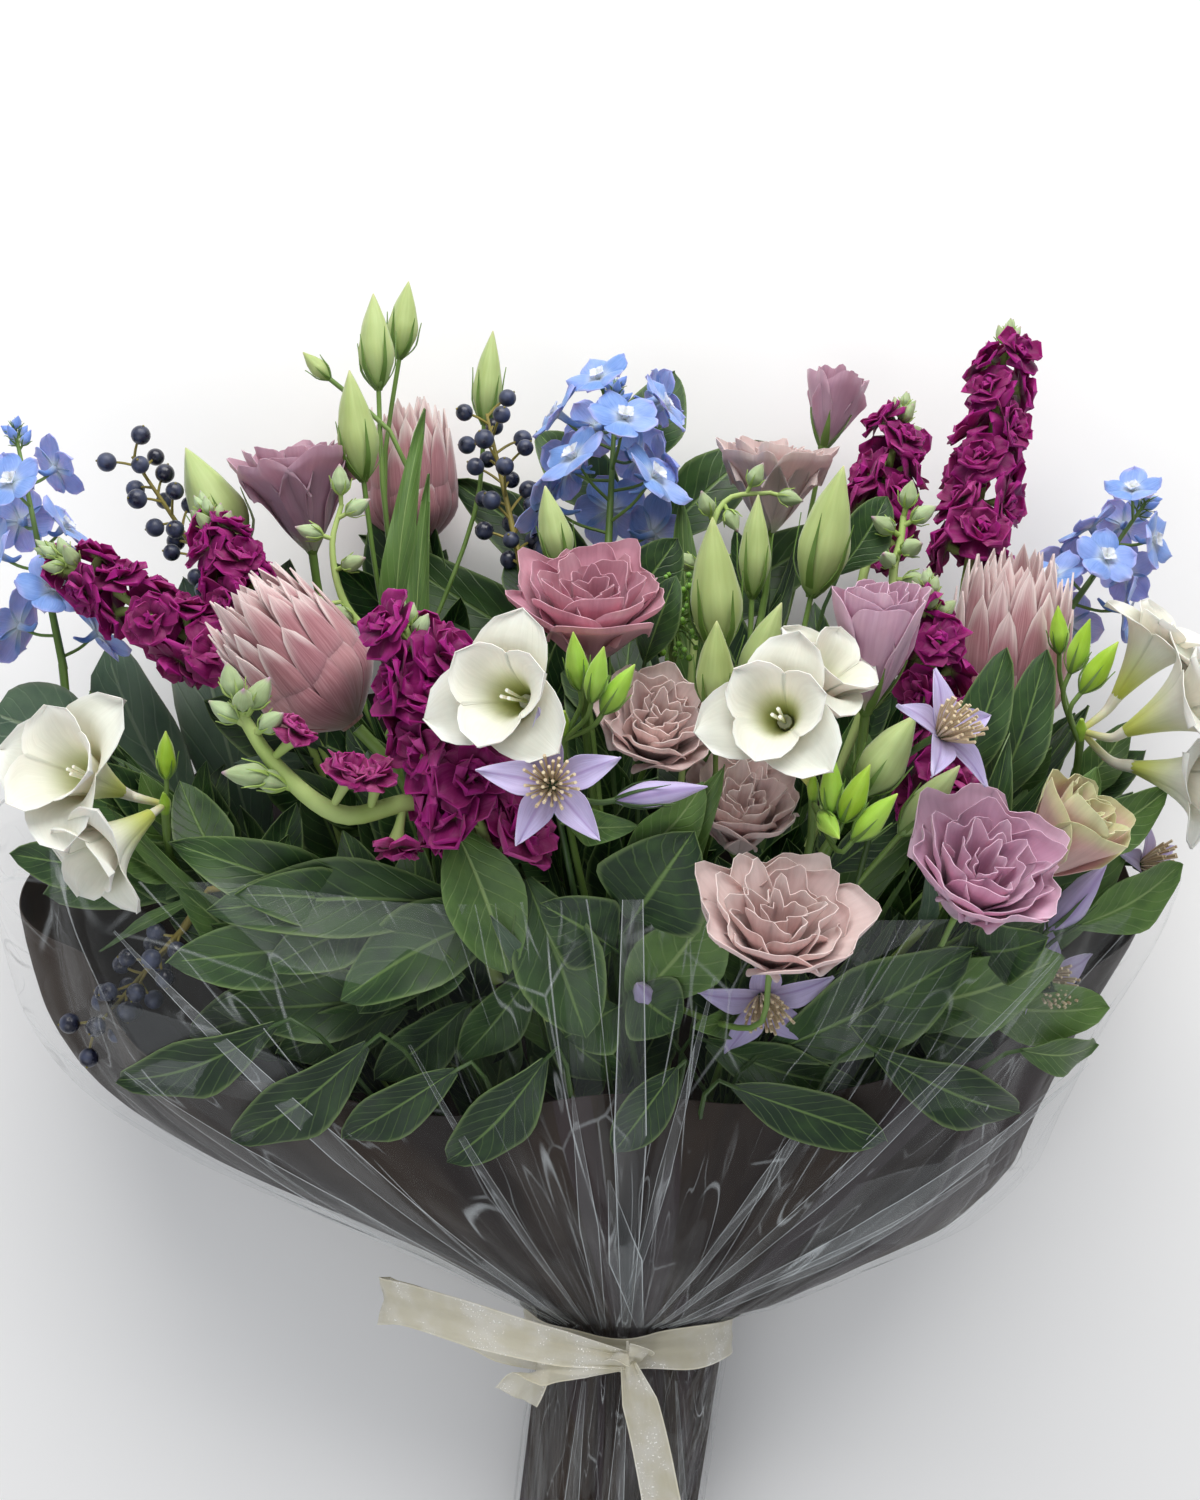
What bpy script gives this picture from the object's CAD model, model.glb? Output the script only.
# A hand-tied bouquet in dark paper and clear film, lying on its back on a pale table.
# Lengths are in millimetres up to the mesh, where they become metres. The flowers point along +Y.
import math
import random

import bmesh
import bpy
from mathutils import Matrix, Vector


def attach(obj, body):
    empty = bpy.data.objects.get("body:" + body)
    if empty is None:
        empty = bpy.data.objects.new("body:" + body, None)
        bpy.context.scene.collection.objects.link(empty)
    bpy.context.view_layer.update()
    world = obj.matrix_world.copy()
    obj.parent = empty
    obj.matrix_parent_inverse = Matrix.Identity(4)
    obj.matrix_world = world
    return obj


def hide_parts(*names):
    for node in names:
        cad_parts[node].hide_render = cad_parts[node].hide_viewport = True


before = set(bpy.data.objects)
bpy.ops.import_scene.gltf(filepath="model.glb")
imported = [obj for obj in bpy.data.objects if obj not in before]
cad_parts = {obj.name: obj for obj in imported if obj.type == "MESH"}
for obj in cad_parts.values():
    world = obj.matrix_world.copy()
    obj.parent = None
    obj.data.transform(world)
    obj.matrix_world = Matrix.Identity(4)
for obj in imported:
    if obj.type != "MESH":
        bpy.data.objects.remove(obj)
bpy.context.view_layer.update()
print("frame loaded:", len(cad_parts), "solids")

mm = 0.001
goldenTurn = 2.39996  # sets florets, buds and leaves round a stem
fifthTurn = 1.2566
weld = 1e-5  # points nearer than this become one, in metres
sharpAngle = 1.2  # edges that turn more than this stay sharp, in radians
eye = {"middle": 90, "height": 1050}  # the camera's place over the table
draw = random.Random(7)  # every random draw comes from here


# ---- numbers and curves ----
def anyTurn():
    return draw.uniform(0, 6.28)


def smoothStep(t):
    t = min(1, max(0, t))
    return t * t * (3 - 2 * t)


def swell(t):  # rises quickly from 0 and ends level at 1
    return math.sin(math.pi / 2 * min(1, t))


def between(rows, place):  # a value from rows of (place, value)
    if place <= rows[0][0]:
        return rows[0][1]
    for (low, a), (high, b) in zip(rows, rows[1:]):
        if place <= high:
            return a + (b - a) * (place - low) / (high - low)
    return rows[-1][1]


def standing(at, axis, spin=0):  # carries local +Z to an axis
    turn = Vector((0, 0, 1)).rotation_difference(Vector(axis).normalized())
    return Matrix.Translation(at) @ turn.to_matrix().to_4x4() @ Matrix.Rotation(spin, 4, "Z")


def turned(matrix, turn):
    return matrix @ Matrix.Rotation(turn, 4, "Z")


def sideways(axis, spin, way):  # a direction given about an axis
    return standing((0, 0, 0), axis, spin).to_3x3() @ Vector(way)


def routeThrough(points, count=24):  # evenly spaced stations on a smooth curve through points
    points = [Vector(p) for p in points]
    ends = [points[0] * 2 - points[1], *points, points[-1] * 2 - points[-2]]
    fine = []
    for p0, p1, p2, p3 in zip(ends, ends[1:], ends[2:], ends[3:]):
        d0, d1, d2 = (max(1e-3, math.sqrt((b - a).length)) for a, b in ((p0, p1), (p1, p2), (p2, p3)))
        m1 = ((p1 - p0) / d0 - (p2 - p0) / (d0 + d1) + (p2 - p1) / d1) * d1
        m2 = ((p2 - p1) / d1 - (p3 - p1) / (d1 + d2) + (p3 - p2) / d2) * d1
        for i in range(12):
            t = i / 12
            bent = ((p2 - p1) * 3 - m1 * 2 - m2) * t * t + ((p1 - p2) * 2 + m1 + m2) * t**3
            fine.append(p1 + m1 * t + bent)
    fine.append(points[-1])
    run = [0]
    for a, b in zip(fine, fine[1:]):
        run.append(run[-1] + (b - a).length)
    stations, k = [], 0
    for i in range(count):
        goal = run[-1] * i / (count - 1)
        while k < len(run) - 2 and run[k + 1] < goal:
            k += 1
        part = (goal - run[k]) / max(1e-6, run[k + 1] - run[k])
        stations.append(fine[k].lerp(fine[k + 1], min(1, part)))
    return stations


def onRoute(route, share):
    place = min(len(route) - 1.0001, max(0, share * (len(route) - 1)))
    return route[int(place)].lerp(route[int(place) + 1], place % 1)


# ---- mesh tools ----
def newMesh():
    bm = bmesh.new()
    bm.loops.layers.uv.new("UVMap")
    bm.verts.layers.float.new("tone")
    bm.faces.layers.int.new("thin")
    return bm


def paint(bm, verts, look, tone, thin):  # sets what the material and the last step read
    toneLayer, thinLayer = bm.verts.layers.float["tone"], bm.faces.layers.int["thin"]
    for vert in verts:
        vert[toneLayer] = tone
        for face in vert.link_faces:
            face.material_index = look
            face.smooth = True
            face[thinLayer] = thin


def sheet(bm, surface, across, along, look=0, tone=0.5, closed=False):
    # a grid of faces bent to surface(u, v), with u from -1 to 1 across it and v from 0 to 1 along it
    verts = bmesh.ops.create_grid(bm, x_segments=across, y_segments=along, size=1, calc_uvs=True)["verts"]
    for vert in verts:
        vert.co = surface(vert.co.x, (vert.co.y + 1) / 2) * mm
    paint(bm, verts, look, tone, 0 if closed else 1)
    bmesh.ops.remove_doubles(bm, verts=verts, dist=weld)


def tube(bm, route, rows, sides=8, look=0, tone=0.5, ribs=(0, 0, 0)):
    # a closed rod along a route, its radius by rows of (share, radius); ribs: count, depth, twist
    side, frames, last = Vector((0.3, 0.1, 1)), [], len(route) - 1
    for k in range(len(route)):
        along = (route[min(k + 1, last)] - route[max(k - 1, 0)]).normalized()
        side = (side - along * side.dot(along)).normalized()
        frames.append((route[k], side, along.cross(side)))

    def surface(u, v):
        row = round(v * (last + 2)) - 1
        at, out, up = frames[min(last, max(0, row))]
        if row < 0 or row > last:
            return at.copy()
        turn = math.pi * u
        radius = between(rows, row / last) * (1 + ribs[1] * math.cos(ribs[0] * turn + ribs[2] * row / last))
        return at + (out * math.cos(turn) + up * math.sin(turn)) * radius

    sheet(bm, surface, sides, last + 2, look, tone, closed=True)


def rod(bm, points, count, rows, *others):  # a tube along a smooth curve through points
    tube(bm, routeThrough(points, count), rows, *others)


def ball(bm, at, radius, look=0, tone=0.5, detail=2):
    placed = Matrix.Translation(Vector(at) * mm)
    verts = bmesh.ops.create_icosphere(bm, subdivisions=detail, radius=radius * mm, matrix=placed)["verts"]
    paint(bm, verts, look, tone, 0)


def finishPiece(bm, lookNames, node="", thick=0.5, name=""):
    # closes a mesh, gives its thin parts a back face and hands it over as a piece in its CAD node's place
    first, *words = (name or node).split("_")
    name = first + "".join(word.capitalize() for word in words)
    thinLayer = bm.faces.layers.int["thin"]
    thin = [face for face in bm.faces if face[thinLayer]]
    if thin:
        moved = bmesh.ops.extrude_face_region(bm, geom=thin, use_keep_orig=True, use_normal_flip=True)["geom"]
        verts = [part for part in moved if isinstance(part, bmesh.types.BMVert)]
        for vert, shift in [(vert, vert.normal * thick * mm) for vert in verts]:
            vert.co -= shift
    bmesh.ops.recalc_face_normals(bm, faces=bm.faces[:])
    mesh = bpy.data.meshes.new(name)
    bm.to_mesh(mesh)
    bm.free()
    mesh.set_sharp_from_angle(angle=sharpAngle)
    for look in lookNames.split():
        mesh.materials.append(looks[look])
    piece = bpy.data.objects.new(name, mesh)
    bpy.context.scene.collection.objects.link(piece)
    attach(piece, "root")
    if node:
        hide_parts(node)
    return piece


# ---- petals, leaves and buds that several flowers share ----
def outlineAt(v, root, fullest, blunt):  # a blade's half-width: from its root to the fullest place to its tip
    if v < fullest:
        return root + (1 - root) * math.sin(math.pi / 2 * v / fullest)
    return max(0, 1 - ((v - fullest) / (1 - fullest)) ** blunt) ** (1 / blunt)


def openPetal(matrix, turn, form, phase=0.0):
    # a petal that leaves a flower's middle at a tilt and bends by its curl on the way out
    start, long, wide, tilt, curl, outline, cup, ruffle, waves = form
    placed = turned(matrix, turn)

    def surface(u, v):
        bend = tilt + curl * v
        half = wide / 2 * outlineAt(v, *outline)
        lift = cup * (u * half) ** 2 / wide
        lift += ruffle * v * v * math.sin(waves * u + phase)
        out = start + long * (math.sin(bend) - math.sin(tilt)) / curl - math.sin(bend) * lift
        up = long * (math.cos(tilt) - math.cos(bend)) / curl + math.cos(bend) * lift
        return placed @ Vector((out, u * half, up))

    return surface


leafShape = {"arch": 0.12, "fold": 0.3, "wave": 0.03, "outline": (0.1, 0.42, 1.35)}  # as others change it


def leaf(bm, root, tip, wide, facing=(0, 0, 1), look=0, tone=0.5, shape=None, grid=(6, 12)):
    # shape: arch and fold of the blade, wave of its rim, and its outline's root, fullest place and bluntness
    shape = leafShape | (shape or {})
    root, tip = Vector(root), Vector(tip)
    long = (tip - root).length
    along = (tip - root).normalized()
    across = along.cross(Vector(facing)).normalized()
    up = across.cross(along)
    phase = anyTurn()

    def surface(u, v):
        half = wide / 2 * outlineAt(v, *shape["outline"])
        lift = long * shape["arch"] * math.sin(math.pi * v) + abs(u) * half * shape["fold"]
        lift += shape["wave"] * long * u * u * math.sin(11 * v + phase + u)
        sway = 0.03 * long * math.sin(math.pi * v) * math.sin(phase)
        return root + along * (long * v) + across * (u * half + sway) + up * lift

    sheet(bm, surface, *grid, look, tone)


budShape = {  # body: shares of its length and of its width
    "body": [(0.08, 0.26), (0.3, 0.48), (0.42, 0.5), (0.7, 0.34), (0.9, 0.13)],
    "twist": (5, 0.09, 4), "lobes": 5, "lobeLength": (0.5, 0.66), "lobeWidth": 0.085,
}


def bud(bm, root, at, face, long, wide, look=0, stalkLook=0, tone=0.5, stalk=1.2):
    # a side branch and the long closed bud that it ends in, with its petals wound round each other
    axis = Vector(face).normalized()
    at = Vector(at)
    foot = at - axis * (long / 2)
    lead = foot - axis * ((root - foot).length * 0.25)
    rod(bm, [root, lead, foot], 12, [(0, stalk), (1, stalk * 1.1)], 6, stalkLook, tone)
    rows = [(0, stalk)] + [(share, wide * part) for share, part in budShape["body"]] + [(1, 0.3)]
    rod(bm, [foot - axis, at, foot + axis * long], 16, rows, 15, look, tone, budShape["twist"])
    matrix = standing(foot, axis)
    for i in range(budShape["lobes"]):  # the calyx's thin lobes
        placed = turned(matrix, i * fifthTurn + 0.3)
        rise = long * draw.uniform(*budShape["lobeLength"])

        def surface(u, v):
            out = stalk + (wide * 0.54 - stalk) * swell(v * 1.9) + 1.2 * v**3
            return placed @ Vector((out, u * (wide * budShape["lobeWidth"]) * (1 - v**1.4), rise * v - 1))

        sheet(bm, surface, 2, 7, stalkLook, tone * 0.6)


# ---- materials ----
looks = {}  # every material by its name


def addNode(tree, kind, inputs=None, **settings):
    node = tree.nodes.new("ShaderNode" + kind)
    for key, value in settings.items():
        setattr(node, key, value)
    for key, value in (inputs or {}).items():
        if isinstance(value, bpy.types.NodeSocket):
            tree.links.new(value, node.inputs[key])
        else:
            node.inputs[key].default_value = value
    return node


def calc(operation, *values):  # a maths node in the tree of the first value that comes from a node
    tree = next(value.id_data for value in values if isinstance(value, bpy.types.NodeSocket))
    return addNode(tree, "Math", dict(enumerate(values)), operation=operation).outputs[0]


def plus(total, *others):
    for value in others:
        total = calc("ADD", total, value)
    return total


def minus(value, less):
    return calc("SUBTRACT", value, less)


def times(value, factor):
    return calc("MULTIPLY", value, factor)


def ramp(value, low, high):  # an eased step from low to high
    inputs = {"Value": value, "From Min": low, "From Max": high}
    return addNode(value.id_data, "MapRange", inputs, interpolation_type="SMOOTHSTEP").outputs["Result"]


def blendColour(share, first, second):
    first, second = ((*colour, 1) if isinstance(colour, tuple) else colour for colour in (first, second))
    return addNode(share.id_data, "Mix", {0: share, 6: first, 7: second}, data_type="RGBA").outputs[2]


def noise(place, scale=1.0, detail=0.0):
    inputs = {"Vector": place, "Scale": scale, "Detail": detail}
    return addNode(place.id_data, "TexNoise", inputs).outputs["Fac"]


def relief(height, strength, distance):
    inputs = {"Strength": strength, "Distance": distance, "Height": height}
    return addNode(height.id_data, "Bump", inputs).outputs[0]


def feed(inputs, values):  # links values to a shader's or a group's inputs
    for key, value in values.items():
        value.id_data.links.new(value, inputs[key])


def placeOf(tree):
    return addNode(tree, "TexCoord").outputs["Object"]


def toneOf(tree):
    return addNode(tree, "Attribute", attribute_name="tone").outputs["Fac"]


def acrossAndAlong(tree):  # the blade's own u and v, and how far off its middle line
    place = addNode(tree, "SeparateXYZ", {0: addNode(tree, "UVMap", uv_map="UVMap").outputs[0]}).outputs
    return place[0], place[1], calc("ABSOLUTE", minus(place[0], 0.5))


def drawnNoise(tree, scaleU, scaleV):  # noise drawn out along the blade
    u, v, off = acrossAndAlong(tree)
    parts = (times(u, scaleU), times(v, scaleV), times(toneOf(tree), 40.0))
    return noise(addNode(tree, "CombineXYZ", dict(enumerate(parts))).outputs[0], 1.0, 3.0)


def newGroup(name, inputs, outputs):  # inputs: name to default, where a colour has four numbers
    tree = bpy.data.node_groups.new(name, "ShaderNodeTree")
    for key, value in inputs.items():
        kind = "NodeSocketFloat" if isinstance(value, (int, float)) else "NodeSocketColor"
        tree.interface.new_socket(name=key, in_out="INPUT", socket_type=kind).default_value = value
    for key in outputs:
        kind = "NodeSocketColor" if key == "Color" else "NodeSocketFloat"
        tree.interface.new_socket(name=key, in_out="OUTPUT", socket_type=kind)
    return tree, tree.nodes.new("NodeGroupInput").outputs, tree.nodes.new("NodeGroupOutput").inputs


black = (0, 0, 0, 1)


def petalGroup():
    given = {"Root": black, "Body": black, "Rim": black}
    given |= {"Veins": 0.3, "Root End": 0.3, "Rim Start": 0.8, "Stripe": 0.0}
    tree, given, out = newGroup("petalTint", given, ("Color", "Height"))
    u, v, off = acrossAndAlong(tree)
    vein, patch = drawnNoise(tree, 26.0, 2.4), drawnNoise(tree, 2.2, 2.0)
    uneven, offTone = minus(patch, 0.5), minus(toneOf(tree), 0.5)
    colour = blendColour(ramp(v, 0.0, given["Root End"]), given["Root"], given["Body"])
    edge = plus(v, times(calc("POWER", off, 3.0), 1.2), times(uneven, 0.25))
    colour = blendColour(ramp(edge, given["Rim Start"], 1.04), colour, given["Rim"])
    colour = blendColour(times(ramp(off, 0.1, 0.0), given["Stripe"]), colour, given["Root"])
    shade = plus(times(minus(vein, 0.5), given["Veins"]), times(offTone, 0.5), times(uneven, 0.35))
    varied = {"Hue": plus(0.5, times(offTone, 0.025)), "Saturation": minus(1.0, times(shade, 0.5))}
    varied |= {"Value": plus(1.0, shade), "Color": colour}
    colour = addNode(tree, "HueSaturation", varied).outputs[0]
    feed(out, {"Color": colour, "Height": plus(vein, times(patch, 2.0))})
    return tree


def leafGroup():
    given = {"Body": black, "Dark": black, "Rib": black, "Rim": black, "Rim Share": 0.5, "Veins": 9.0}
    tree, given, out = newGroup("leafTint", given, ("Color", "Height", "Roughness"))
    u, v, off = acrossAndAlong(tree)
    patch, fine = drawnNoise(tree, 3.0, 5.0), drawnNoise(tree, 60.0, 60.0)
    slope = minus(times(v, given["Veins"]), times(off, 5.0))
    side = ramp(calc("PINGPONG", plus(slope, times(patch, 0.5)), 0.5), 0.1, 0.0)
    rib = ramp(off, 0.035, 0.008)
    colour = blendColour(ramp(plus(patch, times(toneOf(tree), 0.5)), 0.45, 1.0), given["Dark"], given["Body"])
    colour = blendColour(times(side, 0.35), colour, given["Rib"])
    colour = blendColour(times(ramp(off, 0.43, 0.5), given["Rim Share"]), colour, given["Rim"])
    height = minus(times(fine, 0.3), plus(times(side, 0.5), rib))
    rough = plus(0.36, times(patch, 0.25))
    feed(out, {"Color": blendColour(rib, colour, given["Rib"]), "Height": height, "Roughness": rough})
    return tree


def stemGroup():
    given = {"Body": black, "Other": black, "Grain": 300.0}
    tree, given, out = newGroup("stemTint", given, ("Color", "Height"))
    broad, fine = noise(placeOf(tree), 28.0, 3.0), noise(placeOf(tree), given["Grain"], 2.0)
    share = ramp(plus(broad, times(minus(toneOf(tree), 0.5), 0.5)), 0.3, 0.7)
    colour = blendColour(share, given["Body"], given["Other"])
    feed(out, {"Color": colour, "Height": plus(times(broad, 2.0), fine)})
    return tree


groups = {"petal": petalGroup(), "leaf": leafGroup(), "stem": stemGroup()}


def newMaterial(name, settings):
    material = bpy.data.materials.new(name)
    material.use_nodes = True
    inputs = material.node_tree.nodes["Principled BSDF"].inputs
    for key, value in settings.items():
        inputs[key].default_value = value
    looks[name] = material
    return material.node_tree, inputs


def tinted(name, groupName, values, settings, bump):  # colour and relief come from one of the shared groups
    tree, inputs = newMaterial(name, settings)
    given = {key: (*value, 1) if isinstance(value, tuple) else value for key, value in values.items()}
    made = addNode(tree, "Group", node_tree=groups[groupName])
    for key, value in given.items():
        made.inputs[key].default_value = value
    feed(inputs, {"Base Color": made.outputs["Color"], "Normal": relief(made.outputs["Height"], *bump)})
    if "Roughness" in made.outputs:
        feed(inputs, {"Roughness": made.outputs["Roughness"]})


def glowing(weight, radius, scale, **others):  # settings of a thin part that light goes through
    settings = {"Subsurface Weight": weight, "Subsurface Radius": radius, "Subsurface Scale": scale}
    return settings | {key.replace("_", " "): value for key, value in others.items()}


def petalLook(name, root, body, rim, light=0.3, rough=0.55, sheen=0.25, **numbers):
    names = {"veins": "Veins", "rootEnd": "Root End", "rimStart": "Rim Start", "stripe": "Stripe"}
    settings = glowing(light, (1.0, 0.6, 0.6), 0.003, Roughness=rough, Sheen_Weight=sheen)
    values = {"Root": root, "Body": body, "Rim": rim} | {names[key]: value for key, value in numbers.items()}
    settings |= {"Sheen Roughness": 0.4, "Specular IOR Level": 0.35}
    tinted(name, "petal", values, settings, (0.3, 0.0004))


def greenLook(name, body, other, rough=0.45, grain=300.0):
    settings = glowing(0.12, (0.5, 1.0, 0.3), 0.002, Roughness=rough, Specular_IOR_Level=0.4)
    tinted(name, "stem", {"Body": body, "Other": other, "Grain": grain}, settings, (0.25, 0.0003))


def leafLook(name, body, dark, rib, rim, rimShare=0.5, veins=9.0):
    settings = glowing(0.08, (0.4, 1.0, 0.2), 0.002, Specular_IOR_Level=0.45)
    values = {"Body": body, "Dark": dark, "Rib": rib, "Rim": rim, "Rim Share": rimShare, "Veins": veins}
    tinted(name, "leaf", values, settings, (0.5, 0.0006))


# petals and buds: the colour at the root, of the body and at the rim
petalLook("deepPinkPetal", (0.62, 0.66, 0.36), (0.53, 0.25, 0.32), (0.58, 0.3, 0.37), light=0.25)
petalLook("rosePinkPetal", (0.6, 0.68, 0.36), (0.62, 0.36, 0.49), (0.65, 0.41, 0.53))
petalLook("blushPetal", (0.62, 0.64, 0.42), (0.7, 0.53, 0.51), (0.72, 0.56, 0.53))
petalLook("peachPetal", (0.55, 0.62, 0.3), (0.72, 0.46, 0.42), (0.66, 0.66, 0.36), rimStart=0.72)
petalLook("mauvePetal", (0.56, 0.6, 0.4), (0.45, 0.26, 0.34), (0.5, 0.31, 0.39))
magenta = {"light": 0.25, "rough": 0.6, "sheen": 0.08, "veins": 0.5}
petalLook("magentaPetal", (0.3, 0.35, 0.12), (0.2, 0.002, 0.095), (0.36, 0.01, 0.19), **magenta)
blue = {"light": 0.35, "veins": 0.35, "rootEnd": 0.45}
petalLook("bluePetal", (0.62, 0.7, 0.78), (0.2, 0.33, 0.74), (0.36, 0.4, 0.84), **blue)
petalLook("beePetal", (0.8, 0.82, 0.75), (0.78, 0.8, 0.85), (0.6, 0.66, 0.88))
lavender = {"light": 0.25, "veins": 0.4, "stripe": 0.7, "rootEnd": 0.25}
petalLook("lavenderPetal", (0.28, 0.2, 0.42), (0.46, 0.4, 0.64), (0.56, 0.5, 0.72), **lavender)
petalLook("creamPetal", (0.56, 0.6, 0.1), (0.82, 0.8, 0.68), (0.86, 0.85, 0.78), veins=0.16, rootEnd=0.62)
bract = {"light": 0.25, "rough": 0.8, "sheen": 0.5, "veins": 0.9, "rootEnd": 0.35, "rimStart": 0.74}
petalLook("proteaBract", (0.26, 0.17, 0.13), (0.42, 0.2, 0.22), (0.74, 0.6, 0.58), **bract)
petalLook("paleBud", (0.2, 0.34, 0.07), (0.42, 0.52, 0.2), (0.55, 0.55, 0.3), rootEnd=0.35, rimStart=0.85)
petalLook("limeBud", (0.16, 0.34, 0.03), (0.34, 0.56, 0.05), (0.48, 0.66, 0.12), veins=0.15)
petalLook("stockBud", (0.26, 0.36, 0.14), (0.36, 0.46, 0.24), (0.42, 0.2, 0.36), 0.25, 0.7, rimStart=0.8)
petalLook("stamenTuft", (0.4, 0.33, 0.2), (0.56, 0.45, 0.28), (0.66, 0.55, 0.38), 0.1, 0.7)
# stems: two greens that mix
greenLook("freshStem", (0.11, 0.2, 0.035), (0.2, 0.32, 0.08))
greenLook("darkStem", (0.035, 0.075, 0.02), (0.08, 0.14, 0.04))
greenLook("downyStem", (0.3, 0.43, 0.1), (0.42, 0.53, 0.19), rough=0.7, grain=900.0)
greenLook("brownTwig", (0.17, 0.14, 0.03), (0.33, 0.27, 0.06), rough=0.6)
# leaves: the body, its dark patches, ribs and rim
leafLook("darkLeaf", (0.034, 0.085, 0.018), (0.008, 0.028, 0.009), (0.13, 0.22, 0.06), (0.22, 0.32, 0.11))
leafLook("midLeaf", (0.11, 0.21, 0.045), (0.05, 0.11, 0.025), (0.24, 0.35, 0.12), (0.2, 0.3, 0.1), 0.3)
waxy = ((0.085, 0.14, 0.085), (0.045, 0.085, 0.055), (0.16, 0.22, 0.14), (0.2, 0.2, 0.16))
leafLook("waxyLeaf", *waxy, rimShare=0.3, veins=6.0)


def berryLook():  # blue-black skin with a grey bloom on it
    settings = {"Specular IOR Level": 0.5, "Coat Weight": 0.15, "Coat Roughness": 0.3}
    tree, inputs = newMaterial("berrySkin", settings)
    bloom = noise(placeOf(tree), 160.0, 4.0)
    share = ramp(plus(bloom, times(toneOf(tree), 0.3)), 0.45, 0.9)
    colour = blendColour(share, (0.008, 0.009, 0.022), (0.06, 0.075, 0.14))
    rough = plus(0.22, times(share, 0.4))
    feed(inputs, {"Base Color": colour, "Roughness": rough, "Normal": relief(bloom, 0.2, 0.0003)})


berryLook()


tie = (0.014, -0.213, 0.066)  # where the wrap is gathered, in metres


def gatherGroup():  # masks that run straight out from the tie, as creases do in a sheet gathered at one point
    kinds = ("Line", "Strip", "Thread", "Facet", "Edge", "Height", "Broad")
    tree, given, out = newGroup("gatherFolds", {"Tightness": 1.0}, kinds)
    place = addNode(tree, "SeparateXYZ", {0: placeOf(tree)}).outputs
    aside, onward, above = (minus(part, middle) for part, middle in zip(place, tie))
    ahead = plus(calc("MAXIMUM", onward, times(onward, -0.12)), 0.03)
    turn = times(calc("ARCTAN2", aside, ahead), given["Tightness"])
    rise = calc("ARCTAN2", above, ahead)

    def spread(around, out, high):  # a place whose noise changes more round the tie than on the way out
        parts = (times(turn, around), times(onward, out), times(rise, high))
        return addNode(tree, "CombineXYZ", dict(enumerate(parts))).outputs[0]

    def nearHalf(value, width):
        return ramp(calc("ABSOLUTE", minus(value, 0.5)), width, 0.0)

    streak, fine = noise(spread(7.0, 2.2, 3.0)), noise(spread(24.0, 4.0, 9.0))
    breaks, broad = noise(placeOf(tree), 16.0, 2.0), noise(spread(4.5, 7.0, 3.0), 1.0, 3.0)
    cells = {"Vector": spread(4.0, 9.0, 3.0), "Scale": 1.6}
    tint = addNode(tree, "TexVoronoi", cells).outputs["Color"]
    rim = addNode(tree, "TexVoronoi", cells, feature="DISTANCE_TO_EDGE").outputs["Distance"]
    masks = {"Line": times(nearHalf(streak, 0.009), ramp(breaks, 0.42, 0.56))}
    masks["Thread"] = times(nearHalf(fine, 0.018), ramp(breaks, 0.56, 0.44))
    masks["Edge"] = times(ramp(rim, 0.022, 0.0), ramp(broad, 0.5, 0.62))
    masks["Strip"] = ramp(streak, 0.57, 0.58)
    masks["Facet"] = addNode(tree, "SeparateXYZ", {0: tint}).outputs[0]
    masks["Height"] = plus(times(streak, 2.2), times(fine, 0.5), times(ramp(rim, 0.3, 0.0), 0.3))
    feed(out, masks | {"Broad": broad})
    return tree


groups["gather"] = gatherGroup()


def gathered(tree, tightness):
    return addNode(tree, "Group", {"Tightness": tightness}, node_tree=groups["gather"]).outputs


def filmLook(name, rim=0.0):  # nearly nothing seen face on, bright at its creases and where it turns away
    settings = {"Base Color": (0.78, 0.83, 0.84, 1), "Roughness": 0.07, "Specular IOR Level": 1.0, "IOR": 1.5}
    tree, inputs = newMaterial(name, settings)
    masks = gathered(tree, 1.0)
    bumps = relief(masks["Height"], 0.7, 0.003)
    facing = addNode(tree, "LayerWeight", {"Blend": 0.3, "Normal": bumps}).outputs["Facing"]
    alpha = plus(0.003, times(calc("POWER", facing, 3.0), 0.22))
    for key, share in {"Line": 0.26, "Strip": 0.014, "Thread": 0.11, "Edge": 0.12}.items():
        alpha = plus(alpha, times(masks[key], share))
    alpha = plus(alpha, times(ramp(masks["Facet"], 0.72, 1.0), 0.035))
    if rim:  # a folded edge shows as a bright line
        off = acrossAndAlong(tree)[2]
        alpha = plus(alpha, times(ramp(off, 0.44, 0.5), rim), times(ramp(masks["Broad"], 0.35, 0.65), 0.05))
    feed(inputs, {"Alpha": calc("MINIMUM", alpha, 0.8), "Normal": bumps})


def paperLook():  # dark brown paper with a dull shine on its folds
    tree, inputs = newMaterial("darkPaper", {"Specular IOR Level": 0.3, "Sheen Weight": 0.03})
    masks = gathered(tree, 0.7)
    fibre = noise(placeOf(tree), 1500.0, 3.0)
    colour = blendColour(ramp(masks["Broad"], 0.35, 0.68), (0.012, 0.007, 0.006), (0.036, 0.023, 0.015))
    colour = blendColour(times(masks["Strip"], 0.55), colour, (0.05, 0.037, 0.045))
    colour = blendColour(times(ramp(masks["Facet"], 0.72, 1.0), 0.5), colour, (0.06, 0.046, 0.04))
    colour = blendColour(times(fibre, 0.1), colour, (0.07, 0.055, 0.045))
    height = plus(times(masks["Height"], 9.0), times(fibre, 0.05))
    rough = plus(0.42, times(masks["Broad"], 0.3))
    feed(inputs, {"Base Color": colour, "Roughness": rough, "Normal": relief(height, 0.6, 0.0012)})


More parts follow.
